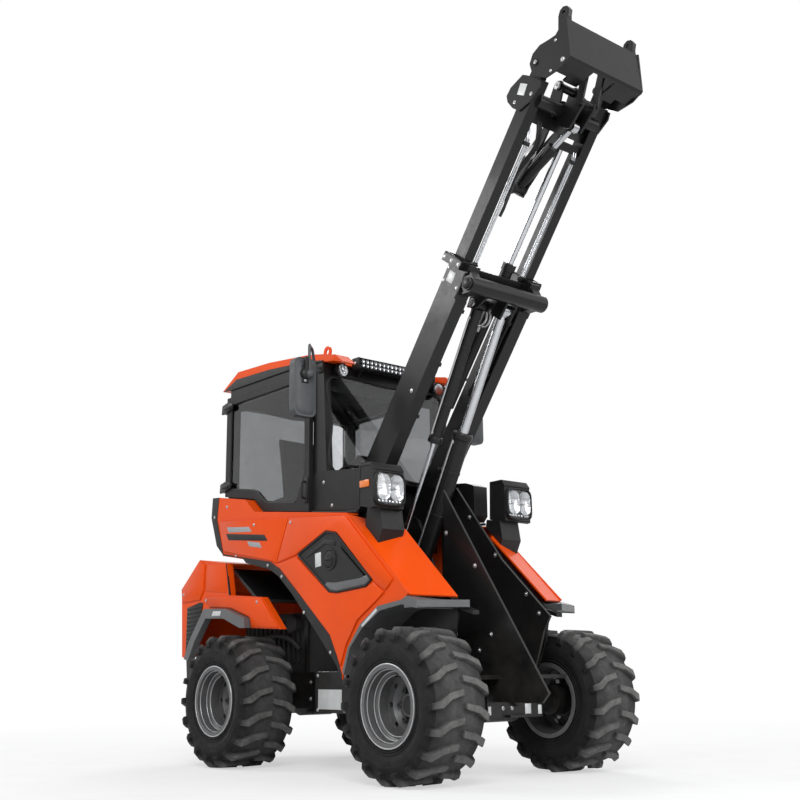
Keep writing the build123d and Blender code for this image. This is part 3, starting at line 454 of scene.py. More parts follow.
def softened(outline, share):
    """Closed outline with a point on each side of every corner, and one halfway to the next.

    share gives, from a side's length, how far along it the point beside a corner lies.
    """
    path = []
    for i, (u, v) in enumerate(outline):
        (a, b), (c, d) = outline[i - 1], outline[(i + 1) % len(outline)]
        near, far = share(math.hypot(a - u, b - v)), share(math.hypot(c - u, d - v))
        path.append((u + (a - u) * near, v + (b - v) * near))
        path.append((u + (c - u) * far, v + (d - v) * far))
        path.append((u + (c - u) * 0.5, v + (d - v) * 0.5))
    return path


def spline(points, steps, closed):
    """Smooth path through points."""
    n = len(points)
    path = []
    for i in range(n if closed else n - 1):
        if closed:
            p = [points[(i + k) % n] for k in (-1, 0, 1, 2)]
        else:
            p = [points[min(max(i + k, 0), n - 1)] for k in (-1, 0, 1, 2)]
        for s in range(steps):
            t = s / steps
            path.append(0.5 * (2 * p[1] + (p[2] - p[0]) * t
                + (2 * p[0] - 5 * p[1] + 4 * p[2] - p[3]) * t * t
                + (3 * p[1] - p[0] - 3 * p[2] + p[3]) * t * t * t))
    if not closed:
        path.append(points[-1])
    return path


# The record's slot that each material belongs to: trim_black for the rest.
SLOTS = {orange: "body_orange", black: "frame_black", steel: "rod_chrome", chrome: "rod_chrome",
    silver: "rod_chrome", lens: "lamp_clear", amber: "lamp_clear", red: "lamp_clear",
    rim_bright: "rim_grey", rubber: "tyre_rubber", iron: "engine_iron"}
made = []


class Piece:
    """A named mesh that rides on one CAD body."""

    def __init__(self, name, mat, body="front_frame", slot=None):
        self.name, self.body, self.mat = name, body, mat
        self.slot_name = slot or SLOTS.get(mat, "trim_black")
        self.bm = bmesh.new()
        made.append(self)

    def face(self, corners):
        corners = list(dict.fromkeys(corners))
        if len(corners) > 2:
            self.bm.faces.new(corners)

    def slab(self, m, outline, low, high, soft=1.5):
        """Plate with rounded edges, from low to high along the normal of m."""
        rings = [[self.bm.verts.new(m @ Vector((u, v, w))) for u, v in outline]
            for w in (low, high)]
        faces = [self.bm.faces.new(ring) for ring in rings]
        n = len(outline)
        for i in range(n):
            j = (i + 1) % n
            faces.append(self.bm.faces.new((rings[0][i], rings[0][j], rings[1][j], rings[1][i])))
        if soft:
            edges = list(dict.fromkeys(e for f in faces for e in f.edges))
            bmesh.ops.bevel(self.bm, geom=edges, offset=soft * 0.001, segments=2, profile=0.5,
                affect="EDGES", clamp_overlap=True)

    def box(self, m, u0, u1, v0, v1, low, high, soft=1.5):
        self.slab(m, ((u0, v0), (u1, v0), (u1, v1), (u0, v1)), low, high, soft)

    def turn(self, m, profile, centre=(0, 0), seg=28, ring=False, shape=None):
        """Shape turned about the normal of m: pairs of radius and height."""
        loops = []
        for r, w in profile:
            if r == 0:
                loops.append([self.bm.verts.new(m @ Vector((centre[0], centre[1], w)))])
                continue
            loop = []
            for k in range(seg):
                a = 2 * math.pi * k / seg
                q = r * (shape(a) if shape else 1)
                u, v = centre[0] + q * math.cos(a), centre[1] + q * math.sin(a)
                loop.append(self.bm.verts.new(m @ Vector((u, v, w))))
            loops.append(loop)
        pairs = list(zip(loops, loops[1:]))
        if ring:
            pairs.append((loops[-1], loops[0]))
        for a, b in pairs:
            for i in range(seg):
                j = (i + 1) % seg
                self.face((a[i % len(a)], a[j % len(a)], b[j % len(b)], b[i % len(b)]))

    def bead(self, m, r, w, thick, sides=8, seg=72):
        """Ring of radius r at height w, round in section."""
        section = []
        for k in range(sides):
            a = math.radians(360 / sides * k)
            section.append((r + thick[0] * math.cos(a), w + thick[1] * math.sin(a)))
        self.turn(m, section, (0, 0), seg, ring=True)

    def bolts(self, m, centres, w=0.0, r=7.0):
        for centre in centres:
            self.bolt(m, centre, w, r)

    def bolt(self, m, centre, w=0.0, r=7.0):
        """Washer and hexagon head."""
        self.turn(m, ((0, w - 1), (1.8 * r, w - 1), (1.8 * r, w + 1.2), (1.6 * r, w + 1.8),
            (0, w + 1.8)), centre, 20)
        self.turn(m, ((0, w + 1), (r, w + 1), (r, w + 1.4 + 0.6 * r),
            (0.82 * r, w + 1.6 + 0.75 * r), (0, w + 1.6 + 0.75 * r)), centre, 6)

    def pipe(self, points, r, seg=10, steps=6, closed=False, ribs=0.0):
        """Tube through points in scene metres, r in millimetres."""
        path = spline([Vector(p) for p in points], steps, closed)
        n = len(path)
        loops = []
        normal = None
        for i, p in enumerate(path):
            ahead = path[(i + 1) % n] if closed or i < n - 1 else p
            behind = path[i - 1] if closed or i else p
            run = (ahead - behind).normalized()
            if normal is None:
                normal = run.orthogonal()
            normal = (normal - run * normal.dot(run)).normalized()
            other = run.cross(normal)
            q = 0.001 * r * (1 + (ribs if i % 2 else -ribs))
            loop = []
            for k in range(seg):
                a = 2 * math.pi * k / seg
                round_it = normal * math.cos(a) + other * math.sin(a)
                loop.append(self.bm.verts.new(p + q * round_it))
            loops.append(loop)
        pairs = list(zip(loops, loops[1:]))
        if closed:
            pairs.append((loops[-1], loops[0]))
        for a, b in pairs:
            for k in range(seg):
                j = (k + 1) % seg
                self.bm.faces.new((a[k], a[j], b[j], b[k]))
        if not closed:
            self.bm.faces.new(loops[0])
            self.bm.faces.new(loops[-1])

    def done(self):
        """Makes the object and seats it on its body."""
        mesh = bpy.data.meshes.new(self.name)
        bmesh.ops.recalc_face_normals(self.bm, faces=self.bm.faces[:])
        self.bm.to_mesh(mesh)
        self.bm.free()
        mesh.materials.append(self.mat)
        ob = bpy.data.objects.new(self.name, mesh)
        scene.collection.objects.link(ob)
        for p in mesh.polygons:
            p.use_smooth = True
        mesh.set_sharp_from_angle(angle=math.radians(35))
        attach(ob, self.body)
        return ob


# ---------------------------------------- side panels
skins = Piece("panel_skins", orange)
skirts = Piece("panel_skirts", trim)
panel_bolts = Piece("panel_bolts", steel)
stripes_grey = Piece("stripes_grey", stripe_grey)
stripes_black = Piece("stripes_black", seal)
vent_trims = Piece("vent_trims", trim)
vent_caps = Piece("vent_caps", grey_trim)
labels = Piece("blank_labels", plate_pale)
cab_seals = Piece("cab_seals", seal)
for hand in HANDS:
    m = side(hand, PANEL_Y)
    skins.slab(m, ((-1900, 1528), (-1655, 1509), (-1116, 1471), (-1236, 1206), (-1318, 1236),
        (-1838, 1324)), -1, 9, 4)
    skins.slab(m, ((-1109, 1470), (-557, 1424), (-140, 1042), (-205, 985), (-298, 1044),
        (-630, 1343), (-738, 1362), (-1024, 1242), (-1228, 1208)), -1, 9, 4)
    skins.slab(m, ((-1221, 1201), (-1022, 1229), (-706, 998), (-625, 990), (-366, 1006),
        (-306, 1036), (-212, 977), (-285, 932), (-446, 842), (-552, 702), (-594, 590),
        (-688, 768), (-1206, 1182)), -1, 9, 4)
    skirts.slab(m, ((-2000, 1694), (-2010, 1560), (-1936, 1372), (-1852, 1302), (-1618, 1266),
        (-1578, 1232), (-1312, 1176), (-1216, 1128), (-1068, 1009), (-1000, 945),
        (-760, 718), (-640, 602), (-592, 520), (-586, 545),
        (-690, 764), (-1211, 1174), (-1306, 1221), (-1852, 1311), (-1939, 1544),
        (-1921, 1689)), -14, 2.5, 1.5)
    for u, v, w in ((-1823, 1615, 0), (-1488, 1464, 9), (-1088, 1440, 9), (-1330, 1200, 5),
            (-1700, 1286, 0), (-947, 900, 5), (-690, 668, 5), (-1180, 1122, 5), (-1965, 1560, 5)):
        panel_bolts.bolt(m, (u, v), w, 5.5)
    stripes_grey.slab(m, ((-1806, 1480), (-1545, 1458), (-1510, 1424), (-1780, 1444)), 8.5, 9.8,
        0.4)
    stripes_grey.slab(m, ((-1560, 1368), (-1420, 1348), (-1392, 1312), (-1535, 1334)), 8.5, 9.8,
        0.4)
    stripes_black.slab(m, ((-1812, 1438), (-1366, 1392), (-1330, 1350), (-1780, 1394)), 8.5, 9.8,
        0.4)
    outline = [(-1008, 1238), (-735, 1348), (-640, 1330), (-322, 1053), (-370, 1020),
        (-627, 1002), (-700, 1010)]
    vent_trims.pipe([m @ Vector(p + (6,)) for p in softened(outline, lambda length: 0.06)], 6, 8, 4,
        closed=True)
    vent_caps.slab(m, ((-690, 1014), (-625, 1008), (-374, 1026), (-334, 1052), (-362, 1078),
        (-420, 1064), (-640, 1050), (-720, 1062), (-738, 1046)), 3, 10, 3)
    vent_trims.slab(m, ((-935, 1232), (-742, 1308), (-664, 1296), (-640, 1276), (-652, 1262),
        (-690, 1272), (-742, 1282), (-920, 1214)), 4, 7, 2)
    vent_trims.turn(m, ((0, 16), (34, 16), (44, 13), (48, 8), (48, 3), (0, 3)), (-700, 1190), 36,
        shape=lambda a: 1 + 0.02 * math.cos(18 * a))
    vent_trims.box(m, -736, -664, 1183, 1197, 14, 22, 3)
    for k in range(10):
        vent_trims.slab(m, [(u + 26 * k, v - 21 * k) for u, v in
            ((-622, 1272), (-608, 1282), (-560, 1228), (-574, 1218))], 4, 6.5, 1)
    labels.slab(m, ((-838, 1152), (-782, 1158), (-786, 1238), (-842, 1232)), 4, 5, 0.4)
    labels.slab(side(hand, 615), ((-399, 809), (-389, 797), (-262, 880), (-270, 894)), -0.5, 0.8,
        0.3)
    labels.box(side(hand, STEP_BOX_Y), -1012, -786, 350, 462, -0.5, 1.0, 0.4)
    cab_seals.pipe([side(hand, 512) @ Vector(p + (0,)) for p in (
        (-1935, 1697), (-1760, 1674), (-1618, 1648), (-1560, 1604), (-1510, 1560), (-1300, 1536),
        (-800, 1478), (-560, 1456))], 9, 8)
    panel_bolts.bolts(side(hand, CAB_Y), ((-895, 1668), (-812, 1520)), 0, 6)
    panel_bolts.bolts(side(hand, STEP_BOX_Y),
        ((-1018, 540), (-762, 540), (-1018, 345), (-762, 345)), 0, 6)

# ---------------------------------------- steps, nose and front beam
treads = Piece("step_treads", steel, slot="frame_black")
for hand in HANDS:
    for k in range(9):
        treads.box(top(560), -1028 + 33 * k, -1010 + 33 * k, hand * 417 - 26, hand * 417 + 26,
            -0.5, 4, 1.2)
    for k in range(5):
        treads.box(top(537), -520 + 52 * k, -500 + 52 * k, hand * 270 - 60, hand * 270 + 60,
            -0.5, 3.5, 1.2)
frame_bolts = Piece("frame_bolts", steel)
frame_bolts.bolts(side(-1, 170), ((-186, 1320), (150, 748), (60, 668), (40, 1120), (-120, 760)),
    0, 8)
frame_bolts.bolts(side(-1, -155), ((-124, 1209), (110, 974), (202, 865), (-330, 1450)), 0, 8)
for hand in HANDS:
    frame_bolts.bolts(side(hand, 164), ((-560, 1360), (-880, 1300), (-905, 1000), (-640, 700),
        (-640, 880)), 0, 9)
    frame_bolts.bolts(side(hand, WALL_Y), ((-60, 640), (-300, 560), (-480, 560), (-640, 760),
        (-640, 1120)), 0, 8)
    boss = side(hand, 310)
    frame_bolts.turn(boss, ((0, 9), (24, 9), (30, 6), (34, 2), (34, 0), (0, 0)), BOOM_FOOT)
    frame_bolts.bolt(boss, BOOM_FOOT, 9, 9)
beam = front(150)
frame_bolts.bolts(beam, ((-94, 366), (-26, 366)), 0, 6)
labels.box(beam, 74, 120, 334, 386, -0.5, 1, 0.4)
labels.box(beam, 176, 204, 330, 378, -0.5, 1, 0.4)
labels.box(beam, -204, -184, 334, 378, -0.5, 1, 0.4)
hitch = Piece("tow_pin", black)
hitch.turn(beam, ((0, 26), (26, 26), (32, 22), (34, 0), (0, 0)), (0, 410), 24)
hitch.box(beam, -70, 70, 318, 330, -0.5, 30, 3)

# ---------------------------------------- cab
cab_seals.pipe([at(x, y, z) for x, y, z in (
    (-872, -448, 1744), (-872, 0, 1741), (-872, 448, 1744), (-888, 451, 2040), (-903, 448, 2330),
    (-904, 0, 2334), (-903, -448, 2330), (-888, -451, 2040))], 9, 8, 5, closed=True)
cab_seals.pipe([at(-1934, y, z) for y, z in (
    (-448, 1710), (0, 1707), (448, 1710), (451, 2000), (448, 2298), (0, 2302), (-448, 2298),
    (-451, 2000))], 9, 8, 5, closed=True)
liner = Piece("roof_liner", headliner)
liner.slab(side(-1), ((-1908, 2420), (-1908, 2402), (-1500, 2390), (-960, 2384), (-960, 2404)),
    -452, 452, 6)
liner.slab(side(-1), ((-940, 2336), (-985, 2336), (-975, 2262), (-958, 2258)), -440, 440, 5)
gutters = Piece("roof_gutters", trim)
for hand in HANDS:
    gutters.slab(side(hand, CAB_Y), ((-2050, 2446), (-1890, 2503), (-1500, 2491), (-1082, 2458),
        (-940, 2437), (-908, 2423), (-1219, 2441), (-1950, 2440)), -2, 5, 2)
for y in (-250, 250):
    liner.box(top(2384), -1500, -1300, y - 70, y + 70, -20, 6, 8)
for hand in HANDS:
    cab_seals.pipe([side(hand, 508) @ Vector(p + (0,)) for p in (
        (-1955, 2441), (-1700, 2442), (-1219, 2443), (-1050, 2434), (-905, 2424))], 7, 8)
    liner.slab(side(hand), ((-1006, 1345), (-1040, 1345), (-1052, 1700), (-1006, 1735)), 380,
        452, 8)
roof_ribs = Piece("roof_ribs", orange)
for y in (-310, 0, 310):
    roof_ribs.slab(side(-1), ((-1870, 2545), (-1500, 2532), (-1110, 2494), (-1100, 2506),
        (-1500, 2549), (-1862, 2564)), -y - 75, -y + 75, 6)
wiper = Piece("wiper", seal)
windscreen = front(-868)
wiper.turn(windscreen, ((0, 22), (14, 22), (18, 16), (20, 0), (0, 0)), (110, 1722), 20)
wiper.pipe([at(-848, 110, 1722), at(-846, 60, 1750), at(-850, -120, 1790),
    at(-856, -190, 1800)], 5, 8)
wiper.slab(windscreen, ((-380, 1784), (40, 1816), (42, 1806), (-378, 1774)), 1, 9, 1.5)
interior = Piece("console", trim)
interior.slab(side(-1), ((-1720, 1342), (-1260, 1342), (-1225, 1600), (-1262, 1650),
    (-1330, 1668), (-1700, 1632)), 290, 420, 14)
interior.slab(side(1), ((-1740, 1342), (-1420, 1342), (-1400, 1560), (-1700, 1585)), 290, 420, 14)
interior.pipe([at(-1300, -345, 1655), at(-1296, -345, 1700), at(-1310, -342, 1755)], 11, 10)
interior.turn(basis(at(-1312, -342, 1745), (1, 0, 0), (0, 1, 0), (-0.15, 0, 0.99)),
    ((0, 78), (14, 76), (25, 64), (27, 40), (20, 18), (24, 4), (0, 0)), (0, 0), 20)
interior.slab(side(-1), ((-1090, 1760), (-1060, 1750), (-1010, 1890), (-1024, 1898),
    (-1085, 1800)), -150, 150, 8)
wheel_frame = basis(at(-1155, 0, 1800), (0, 1, 0), (0.94, 0, 0.35), (-0.35, 0, 0.94))
interior.bead(wheel_frame, 167, 11, (16, 15), 12, 48)
interior.turn(wheel_frame, ((0, 40), (26, 38), (44, 28), (50, -4), (0, -4)), (0, 0), 28)
for k in range(7):
    interior.box(top(1340), -1420 + 55 * k, -1395 + 55 * k, -200, 200, -0.3, 3, 1)

# Seat: a rigid base, and crowned cushions with sewn channels.
seat_base = Piece("seat_base", trim)
seat_base.slab(side(-1), ((-1660, 1341), (-1330, 1341), (-1350, 1470), (-1300, 1518),
    (-1690, 1518), (-1640, 1470)), -180, 180, 12)
seat_base.slab(side(-1), ((-1735, 1560), (-1718, 1560), (-1800, 2010), (-1818, 2010)), -150, 150, 5)
seat_base.box(top(1520), -1690, -1290, -205, 205, -8, 12, 6)


def cushion(name, m, half, channels, rows, crown):
    """Crowned pad whose sides pull in between its corners, with sewn channels on its face."""
    bm = bmesh.new()
    bmesh.ops.create_cube(bm, size=2)
    bmesh.ops.subdivide_edges(bm, edges=bm.edges[:], cuts=21, use_grid_fill=True)
    for v in bm.verts:
        x, y, z = v.co
        edge = max(abs(x), abs(y))
        round_off = 1 - 0.16 * (max(0.0, edge - 0.62) / 0.38) ** 2
        u = x * (1 - 0.035 * (1 - y * y)) * (1 - 0.05 * abs(z) ** 3)
        w = y * (1 - 0.035 * (1 - x * x)) * (1 - 0.05 * abs(z) ** 3)
        h = z * (1 - crown * 0.5 * (x * x + y * y)) * round_off
        if z > 0.9:
            for c in channels:
                h -= 0.20 * math.exp(-((x - c) / 0.045) ** 2) * (1 - abs(y) ** 6)
            for c in rows:
                h -= 0.20 * math.exp(-((y - c) / 0.045) ** 2) * (1 - abs(x) ** 6)
            h += 0.02 * math.sin(9 * x + 3 * y) * math.sin(7 * y)
        if abs(z) < 0.12 and edge > 0.97:
            u, w = u * 1.02, w * 1.02
        v.co = m @ Vector((u * half[0], w * half[1], h * half[2]))
    bmesh.ops.recalc_face_normals(bm, faces=bm.faces[:])
    mesh = bpy.data.meshes.new(name)
    bm.to_mesh(mesh)
    bm.free()
    mesh.materials.append(seat_cloth)
    for p in mesh.polygons:
        p.use_smooth = True
    ob = bpy.data.objects.new(name, mesh)
    scene.collection.objects.link(ob)
    smooth = ob.modifiers.new("smooth", "SUBSURF")
    smooth.levels = smooth.render_levels = 1
    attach(ob, "front_frame")
    return ob


pad = cushion("seat_cushion", basis(at(-1490, 0, 1578), (1, 0, 0.05), (0, 1, 0), (-0.05, 0, 1)),
    (225, 225, 48), (-0.45, 0.1, 0.6), (-0.62, 0.62), 0.30)
cushion("seat_back", basis(at(-1752, 0, 1880), (-0.155, 0, 0.988), (0, 1, 0), (0.988, 0, 0.155)),
    (228, 215, 42), (-0.5, -0.1, 0.3), (-0.6, 0.6), 0.32)
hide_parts("seat")

# ---------------------------------------- lamps, light bar and mirrors
bezels = Piece("lamp_bezels", trim)
reflectors = Piece("lamp_reflectors", chrome)
covers = Piece("lamp_covers", lens)
ambers = Piece("indicators", amber)


def rounded(a, b, n=5.0):
    """Outline of a rounded rectangle by angle, half sizes a and b."""
    return lambda t: (abs(math.cos(t) / a) ** n + abs(math.sin(t) / b) ** n) ** (-1 / n)


for hand in HANDS:
    m = facing_front(-276, hand * 516, 1550)
    bezels.turn(m, ((1.0, -2), (1.12, -2), (1.12, 14), (1.09, 22), (1.03, 25), (1.0, 20)),
        (0, 0), 56, ring=True, shape=rounded(98, 88))
    for cu, cv, a, b in ((-47 * hand, 8, 47, 68), (48 * hand, 8, 46, 68)):
        fluted = rounded(a, b, 3.0)
        reflectors.turn(m, ((0, 2.5), (0.25, 3), (0.45, 4.5), (0.65, 8), (0.82, 12), (1.0, 18),
            (1.04, 18), (1.04, 0), (0, 0)), (cu, cv), 56,
            shape=lambda t, f=fluted: f(t) * (1 + 0.025 * math.cos(14 * t)))
        reflectors.turn(m, ((0, 16), (7, 15), (10, 11), (10, 2), (0, 2)), (cu, cv), 18)
    for k in range(7):
        reflectors.box(m, -84 + 25 * k, -66 + 25 * k, -78, -64, 0, 12 + 2 * (k % 2), 2)
    covers.turn(m, ((0, 23), (0.5, 22.6), (0.85, 21), (0.985, 18), (0.985, 16), (0.85, 19),
        (0.5, 20.6), (0, 21)), (0, 0), 56, shape=rounded(98, 88))
    ambers.slab(side(hand, 626), ((-390, 1560), (-310, 1560), (-310, 1600), (-390, 1600)), -2, 8, 4)
    panel_bolts.bolts(front(-308), ((hand * y, z) for y, z in
        ((410, 1345), (465, 1328), (520, 1330))), 0, 6)
    bezels.slab(side(hand), ((-410, 1462), (-402, 1696), (-300, 1698), (-272, 1662),
        (-276, 1650), (-304, 1684), (-392, 1684), (-396, 1462)), 404, 628, 3)

bar_front = Piece("bar_cells", chrome)
bar_rim = Piece("bar_rim", trim)
bar = front(-800)
for k in range(18):
    for v in (2412, 2438):
        bar_front.turn(bar, ((0, 1.5), (4, 2), (8, 4), (11.5, 9), (12.5, 9), (12.5, -1), (0, -1)),
            (-280.5 + 33 * k, v), 16)
        bar_front.turn(bar, ((0, 6), (3, 5), (3.5, 1), (0, 1)), (-280.5 + 33 * k, v), 10)
for v in (2394, 2423, 2455):
    bar_rim.box(bar, -309, 309, v - 2.5, v + 2.5, -1, 11, 1.5)
for hand in HANDS:
    bar_rim.box(side(hand, 310), -857, -789, 2391, 2460, -1, 10, 4)
    panel_bolts.bolt(side(hand, 320), (-826, 2425), 0, 6)
    bar_rim.turn(basis(at(-862, hand * 400, 2376), (0, 1, 0), (0, 0, 1), (1, 0, -0.25)),
        ((0, -30), (34, -30), (44, -8), (46, 16), (40, 18), (40, 8), (0, 8)), (0, 0), 28)
    bar_front.turn(basis(at(-852, hand * 400, 2373), (0, 1, 0), (0, 0, 1), (1, 0, -0.25)),
        ((0, 0), (16, 1), (30, 4), (37, 8), (37, -2), (0, -2)), (0, 0), 28,
        shape=lambda a: 1 + 0.02 * math.cos(12 * a))
for k in range(26):
    bar_rim.box(front(-855, -1), -300 + 24 * k, -296 + 24 * k, 2397, 2454, -1, 8, 1)

mirror_trims = Piece("mirror_mounts", trim)
mirror_glass = Piece("mirror_glass", silver)
mirror_shell = Piece("mirror_shells", mirror_grey)
for hand in HANDS:
    m = facing_front(-820, hand * 700, 2215)
    oval = rounded(79, 180, 5.0)
    mirror_shell.turn(m, ((0, 9), (0.5, 8.5), (0.8, 6), (0.93, 1), (1.0, -10), (1.0, -50),
        (0.985, -56), (0.93, -56), (0.93, -40), (0, -40)), (0, 0), 64, shape=oval)
    mirror_glass.turn(m, ((0, -55.8), (0.94, -55.8), (0.95, -57), (0.94, -59), (0, -59)), (0, 0),
        64, shape=oval)
    mirror_trims.box(m, 10 * hand - 24, 10 * hand + 24, 20, 130, 4, 14, 4)
    mirror_trims.turn(m, ((0, 40), (20, 36), (32, 26), (34, 8), (0, 6)), (10 * hand, 75), 24)
    mirror_trims.box(m, 10 * hand - 14, 10 * hand + 14, 60, 180, 14, 34, 4)
    panel_bolts.bolts(m, ((10 * hand, 36), (10 * hand, 112)), 13, 5)
    mirror_trims.box(side(hand, CAB_Y), -950, -900, 2355, 2415, -1, 12, 3)

# ---------------------------------------- doors
for hand, body in zip(HANDS, ("door_right", "door_left")):
    m = side(hand, DOOR_Y)
    door_trim = Piece(body + "_seals", seal, body)
    ring = [(-1905, 1750), (-1905, 2325), (-1052, 2338), (-1052, 1750), (-1140, 1570),
        (-1470, 1608), (-1580, 1698)]
    door_trim.pipe([m @ Vector(p + (-7,)) for p in softened(ring, lambda length: 30 / length)],
        8, 8, 4, closed=True)
    hinges = Piece(body + "_hinges", black, body)
    for z in (1760, 2300):
        hinges.slab(m, ((-2004, z - 32), (-1998, z + 30), (-1935, z + 44), (-1872, z + 26),
            (-1872, z - 10), (-1930, z - 18)), -2, 16, 5)
        hinges.box(m, -1968, -1890, z - 6, z + 16, 12, 24, 5)
        hinges.turn(basis(at(-1985, hand * 520.3, z - 26), (1, 0, 0), (0, 1, 0), (0, 0, 1)),
            ((0, 0), (17, 0), (19, 3), (19, 49), (17, 52), (0, 52)), (0, 0), 24)
    for u, v in ((-1955, 1768), (-1900, 1764), (-1955, 2308), (-1900, 2304)):
        hinges.bolt(m, (u, v), 22 if u > -1950 else 15, 5)
    handle = Piece(body + "_handle", trim, body)
    handle.slab(m, ((-1048, 1560), (-1012, 1556), (-1010, 1716), (-1048, 1712)), -2, 8, 4)
    handle.pipe([m @ Vector(p) for p in ((-1030, 1585, 2), (-1030, 1588, 24), (-1030, 1600, 36),
        (-1030, 1672, 36), (-1030, 1684, 24), (-1030, 1687, 2))], 7, 10)
    handle.turn(m, ((0, 13), (8, 13), (10, 10), (10, 6), (0, 6)), (-1030, 1566), 18)

# ---------------------------------------- wheels
REAR_AXLE = -2000 * HALF_BASE


def wheel_view(x, hand, sign=1):
    """Side view about a wheel's middle, outward (or inward)."""
    return basis(at(x, hand * 592, 1000 * TYRE_R), (1, 0, 0), (0, 0, 1), (0, hand * sign, 0))


for site, x, hand in (("front_right", 0, -1), ("front_left", 0, 1), ("rear_right", REAR_AXLE, -1),
        ("rear_left", REAR_AXLE, 1)):
    body = "wheel_" + site
    m = wheel_view(x, hand)
    beads = Piece("rim_beads_" + site, rim_bright, body)
    for r, w, t in ((207, 176, 4.5), (181, 158, 3), (172, 118, 3.5), (152, 104, 3)):
        beads.bead(m, r, w, (t, t))
    nuts = Piece("wheel_nuts_" + site, iron, body, "rod_chrome")
    for k in range(6):
        a = math.radians(60 * k)
        c = (80 * math.cos(a), 80 * math.sin(a))
        nuts.turn(m, ((0, 8), (19, 8), (19, 11), (16, 13), (0, 13)), c, 20)
        nuts.turn(m, ((0, 12), (15, 12), (15, 25), (12, 28), (0, 28)), c, 6)
        nuts.turn(m, ((0, 27), (8, 27), (8, 38), (6.5, 40), (0, 40)), c, 12)
    nuts.turn(m, ((0, 36), (30, 36), (44, 33), (50, 26), (52, 20), (0, 20)), (0, 0), 36)
    nuts.pipe([m @ Vector(p) for p in ((0, 150, 100), (0, 146, 112), (0, 142, 128))], 5, 8)
    walls = Piece("sidewall_ribs_" + site, rubber, body)
    for sign in (1, -1):
        for r, w, t in ((222, 177, 3), (238, 180, 2), (282, 186, 2), (292, 186, 1.5)):
            walls.bead(wheel_view(x, hand, sign), r, w, (t, t))

# ---------------------------------------- boom
PIPE_YS = (200.9, 183.5)  # the telescopic oil pipes inside each arm
arm_lines = Piece("arm_pipes", chrome, "boom_extension")
arm_clips = Piece("arm_pipe_clips", black, "boom_extension")
head_pins = Piece("head_pins", steel, "boom_extension")
head_hoses = Piece("head_hoses", seal, "boom_extension")
head_plates = Piece("head_labels", plate_pale, "boom_extension")
for hand in HANDS:
    for y in PIPE_YS:
        arm_lines.pipe([on_arm(a, p, hand * y) for a, p in (
            (1640, 9), (2040, 9), (2380, 9), (2425, 9), (2475, 15), (2530, 43))], 6, 16, 5)
    arm_clips.box(arm(hand, 174), 2432, 2456, -2, 24, 0, 46, 3)
    arm_clips.bolt(basis(on_arm(2444, -2, hand * 192), (BOOM_C, 0, BOOM_S), (0, 1, 0),
        (BOOM_S, 0, -BOOM_C)), (0, 0), 0, 4)
    m = arm(hand, 54)
    head_pins.turn(m, ((0, 12), (25, 12), (30, 8), (31, 0), (0, 0)), (2190, 150), 28)
    head_pins.bolt(m, (2190, 150), 11, 7)
    boss_h = 8 if hand < 0 else 2.5
    head_pins.turn(m, ((0, boss_h), (38, boss_h), (43, 0.6 * boss_h), (44, 0), (0, 0)),
        (2407, 98), 36)
    m = arm(hand, 78)
    head_pins.turn(m, ((0, 8), (20, 8), (24, 5), (24, -1), (0, -1)), (2800, 88), 28)
    head_pins.bolt(m, (2800, 88), 7, 6)
    m = arm(hand, 295.6)
    head_pins.bolts(m, ((2700, 20), (2625, 120)), 0, 6)
    head_plates.slab(m, ((2676, 70), (2740, 80), (2732, 136), (2668, 126)), -0.5, 0.9, 0.3)
for k, q in enumerate((-62, -84)):
    head_hoses.pipe([on_arm(a, p, y) for a, p, y in (
        (2016, 12, -158), (2090, 10, -158), (2180, 36, q - 76), (2270, 80, q - 40),
        (2360, 66 - 8 * k, q - 24), (2450, 24 - 6 * k, q - 34), (2520, 10, q - 60),
        (2580, 40, q - 66))], 9, 10, 8)
for q in (66, 90):
    head_hoses.pipe([on_arm(a, p, y) for a, p, y in (
        (2210, 196, q - 30), (2300, 214, q - 10), (2420, 176, q), (2540, 128, q + 10),
        (2600, 96, q + 20))], 8, 10, 8)

